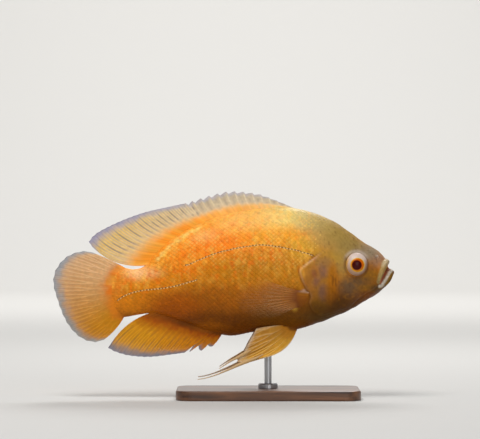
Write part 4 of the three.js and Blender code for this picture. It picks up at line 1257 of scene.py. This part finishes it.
    def threads(self, finish: bpy.types.Material) -> None:
        """The two long threads that trail from each belly fin."""
        long = np.array([(-4, 16.2, -20), (-10.7, 16.9, -23.4), (-23, 17.8, -28.2), (-32.8, 18.4, -32.6),
                         (-43.5, 18.8, -37), (-51.7, 19, -39.4), (-57.4, 19, -40.3)])
        short = np.array([(-14, 16.6, -16.6), (-19.5, 17, -19.6), (-24.5, 17.3, -22.4), (-30, 17.6, -25.2),
                          (-35.4, 17.8, -28.6), (-39.8, 18, -31.6)])

        def radius(share: Array) -> Array:
            """A thread's radius: swelling from the fin, then tapering to a fine tip."""
            return 0.35 + 1.6 * (1 - share) ** 1.4 * smooth(share, -0.05, 0.3)

        for side in Side:
            points, faces = np.zeros((0, 3)), []
            for path in (long, short):
                thread, parts = tube(path * [1, side.value, 1], radius, steps=60, sides=12, thin=0.35)
                faces += [[k + len(points) for k in face] for face in faces_out(thread, parts)]
                points = np.vstack([points, thread])
            paint = opaque(blend(colour("cca670"), colour("dcc4a8"), smooth(-points[:, 0], 16, 50)))
            make_piece(f"pelvic_threads_{side.word}", points, faces, paint, finish, ())


def tube(path: Array, radius: Callable[[Array], Array], steps: int, sides: int,
         thin: float) -> tuple[Array, list[list[int]]]:
    """A closed flattened tube: ellipses across a smooth path, with a cap point at each end.

    Args:
        path: the knots of its middle line, which runs mostly in the side view.
        radius: its radius for shares of its length.
        steps: circles along it.
        sides: points round each circle.
        thin: its thickness as a share of its height.

    Returns:
        Its points and faces.
    """
    share = np.linspace(0, 1, steps)
    middle = evenly(path, share)
    along = np.gradient(middle, axis=0)
    along /= np.linalg.norm(along, axis=1, keepdims=True)
    up = np.cross(along, [0, 1, 0])
    up /= np.linalg.norm(up, axis=1, keepdims=True)
    out = np.cross(up, along)
    angle = np.arange(sides) / sides * 2 * np.pi
    circle = np.cos(angle)[None, :, None] * up[:, None] + np.sin(angle)[None, :, None] * out[:, None] * thin
    rings = middle[:, None] + circle * radius(share)[:, None, None]
    points = np.vstack([rings.reshape(-1, 3), middle[:1], middle[-1:] + along[-1:] * 0.3])
    return points, capped(steps, sides)


@dataclass(frozen=True)
class Eye:
    """A wet eye: white rim, orange-yellow ring and dark red pupil under a clear bulge."""

    form: BodyForm
    plan: HeadPlan
    rings: int = 72
    spokes: int = 96

    def build(self, finish: bpy.types.Material, side: Side) -> None:
        """Makes one eye: an ellipsoid about the eye's axis, with a low bulge over the ring."""
        polar = np.linspace(0.001, np.pi - 0.001, self.rings)[:, None]
        spin = (np.arange(self.spokes) / self.spokes * 2 * np.pi)[None]
        half = self.plan.eye_half
        bulge = 0.7 * bell(np.sin(polar), 0, 0.55) * (np.cos(polar) > 0)
        sideways = half[1] * np.cos(polar) + bulge + 0 * spin
        local = np.stack([half[0] * np.sin(polar) * np.cos(spin), sideways,
                          half[2] * np.sin(polar) * np.sin(spin)], -1)
        cosine, sine = math.cos(self.plan.eye_tilt), math.sin(self.plan.eye_tilt)
        turned = local @ np.array([[1, 0, 0], [0, cosine, sine], [0, -sine, cosine]])
        x, z = self.plan.eye
        centre = [x, self.form.side(x, z) - self.plan.eye_sunk, z]
        points = (turned + centre).reshape(-1, 3) * [1, side.value, 1]
        points = np.vstack([points, points[:self.spokes].mean(0), points[-self.spokes:].mean(0)])
        paint = self.paint(local).reshape(-1, 3)
        paint = opaque(np.vstack([paint, paint[:1], paint[-1:]]))
        faces = faces_out(points, capped(self.rings, self.spokes))
        make_piece(f"eye_{side.word}_dressed", points, faces, paint, finish, (f"eye_{side.word}",))

    @staticmethod
    def paint(local: Array) -> Array:
        """Colours by distance from the pupil's centre, which sits a little low in the eye. The white is painted
        lighter above and darker towards its lower right, as painted light and shade.
        """
        x, y, z = np.moveaxis(local, -1, 0)
        far = np.hypot(x - 0.3, z + 0.9)
        streak = noise(np.stack([np.arctan2(x, z + 0.9) * 6, far * 0.3, 0 * far], -1), 0.5, 31)
        # The white is lighter towards the top: painted light from above.
        rim = blend(colour("b8947c"), colour("d2bcb0"), smooth(z, -5, 6))
        # Darker towards the lower right: painted shade, in a skin-like brown.
        shade = smooth(x * 0.75 - z * 0.6, 1.5, 8)
        rim = blend(rim, colour("7a5238"), 0.75 * shade * smooth(far, 6.2, 8.4))
        rim = blend(rim, colour("d89c28"), 0.85 * smooth(far, 6.8, 8.2) * smooth(-x, 4, 7) * bell(z, 1, 4))
        ring = np.hypot(x - 0.9, z + 0.7)
        front = y > 0
        base = blend(rim, colour("deb034"), front * (1 - smooth(ring, 5.6, 6.1)))
        base = blend(base, colour("cc5e04"), front * (1 - smooth(ring + 0.6 * (streak - 0.5), 4.9, 5.6)))
        glint = 0.6 * smooth(-x - z, -3, 4) * bell(far, 4.7, 0.5)
        base = blend(base, colour("e09a1c"), front * glint)
        return blend(base, colour("420503"), front * (1 - smooth(far, 3.8, 4.2)))


@dataclass(frozen=True)
class Walnut:
    """Oiled walnut: long grain along the board with soft rings and fine pores."""

    dark: str = "3a2112"
    light: str = "7a4d2c"

    def make(self) -> bpy.types.Material:
        """The finish as a Blender material."""
        recipe = Recipe("oiled_walnut", {"Roughness": 0.42, "Coat Weight": 0.25, "Coat Roughness": 0.25})
        grain = recipe.pattern({"Scale": 1.6, "Detail": 8, "Distortion": 1.2}, (6, 60, 60))
        ramp = recipe.add("ValToRGB", {})
        for stop, place, tone in zip(ramp.color_ramp.elements, (0.35, 0.68), (self.dark, self.light)):
            stop.position, stop.color = place, (*colour(tone), 1)
        recipe.join(grain, "Fac", ramp, "Fac")
        recipe.join(ramp, "Color", recipe.shader, "Base Color")
        recipe.emboss(grain, 0.0001, 0.5)
        return recipe.material


@dataclass(frozen=True)
class TurnedSteel:
    """Steel with the fine rings that a lathe leaves."""

    tone: str = "b9babc"

    def make(self) -> bpy.types.Material:
        """The finish as a Blender material."""
        recipe = Recipe("turned_steel", {
            "Base Color": (*colour(self.tone), 1), "Metallic": 1, "Roughness": 0.28})
        rings = recipe.pattern({"Scale": 1}, (20, 20, 4000))
        recipe.emboss(rings, 0.00003, 0.4)
        return recipe.material


@dataclass(frozen=True)
class Studio:
    """A pale cove, soft lamps and the camera at the photograph's angle. Sizes are metres."""

    floor_tone: str = "cac8c4"
    distance: float = 2.3
    frame_width: float = 0.3936
    aim: tuple[float, float] = (-0.02296, 0.1464)
    front: float = -4.5
    back: float = 3.4
    bend: float = 1.2
    wall: float = 5.0
    half_width: float = 6.0

    def build(self) -> None:
        """Makes the floor, the lamps, the world's light and the camera."""
        self.cove()
        self.lamp("key", (-0.25, -0.55, 1.2), (0.0, 0.0, 0.1), 0.6, 11)
        self.lamp("fill", (0.3, -1.6, 0.5), (0.0, 0.0, 0.1), 0.9, 5)
        self.lamp("rim", (0.1, 0.8, 0.9), (0.0, 0.0, 0.12), 0.5, 6)
        self.lamp("backdrop", (0.0, 2.4, 2.4), (0.0, 4.2, 0.2), 2.4, 95)
        world = bpy.data.worlds.new("studio")
        world.use_nodes = True
        Recipe.set(world.node_tree.nodes["Background"], {"Color": (0.8, 0.82, 0.85, 1), "Strength": 0.3})
        bpy.context.scene.world = world
        bpy.context.scene.view_settings.view_transform = "Standard"
        data = bpy.data.cameras.new("camera")
        data.sensor_fit = "HORIZONTAL"
        data.sensor_width = 36
        data.lens = 36 * self.distance / self.frame_width
        data.clip_start = 0.01
        camera = put("camera", data)
        camera.location = (self.aim[0], -self.distance, self.aim[1])
        camera.rotation_euler = (math.pi / 2, 0, 0)
        bpy.context.scene.camera = camera

    def cove(self) -> None:
        """A floor that curves up into a wall: flat, a quarter circle, then upright."""
        turn = np.linspace(0, np.pi / 2, 24)
        depth = np.r_[self.front, self.back + self.bend * np.sin(turn), self.back + self.bend]
        height = np.r_[0.0, self.bend * (1 - np.cos(turn)), self.wall]
        rows = [(side * self.half_width, y, z) for y, z in zip(depth, height) for side in (-1, 1)]
        mesh = bpy.data.meshes.new("studio_floor")
        mesh.from_pydata(rows, [], lattice(len(depth), 2).tolist())
        mesh.shade_smooth()
        paint = Recipe("studio_floor", {"Base Color": (*colour(self.floor_tone), 1), "Roughness": 0.85})
        mesh.materials.append(paint.material)
        put("studio_floor", mesh)

    @staticmethod
    def lamp(name: str, place: tuple, target: tuple, size: float, power: float) -> None:
        """A square soft lamp that points at a target."""
        data = bpy.data.lights.new(name, "AREA")
        data.size, data.energy = size, power
        lamp = put(name, data)
        lamp.location = place
        aim = np.array(target) - np.array(place)
        nod = math.acos(-aim[2] / np.linalg.norm(aim))
        lamp.rotation_euler = (nod, 0, math.atan2(aim[1], aim[0]) - math.pi / 2)


def main() -> None:
    """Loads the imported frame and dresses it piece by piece."""
    logging.basicConfig(level=logging.INFO, format="%(name)s: %(message)s")
    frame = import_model()
    Studio().build()
    form = BodyForm(RIBS)
    relief = Relief(form, PLAN)
    markings = Markings(form, relief)
    grid = Skin(form, relief, markings).build(WetSkin("fish_skin").make())
    coat = ScaleCoat(relief, markings)
    glossy = WetSkin("fish_scale", roughness=0.42, coat=0.06, grain=1600.0, grain_depth=0.00002).make()
    for side in Side:
        flank = FlankMap(grid, side)
        coat.build(flank, glossy, side)
        coat.side_line(flank, glossy, side)
    FinSet(form).build(markings)
    wet = WetSkin("wet_eye", roughness=0.2, coat=0.0, coat_roughness=0.03, scatter=0.0, grain_depth=0.0,
                  shine=0.14).make()
    for side in Side:
        Eye(form, PLAN).build(wet, side)
    for node, finish in (("stand_base", Walnut()), ("stand_rod", TurnedSteel())):
        frame["nodes"][node].material_slots[0].material = finish.make()


if __name__ == "__main__":
    main()
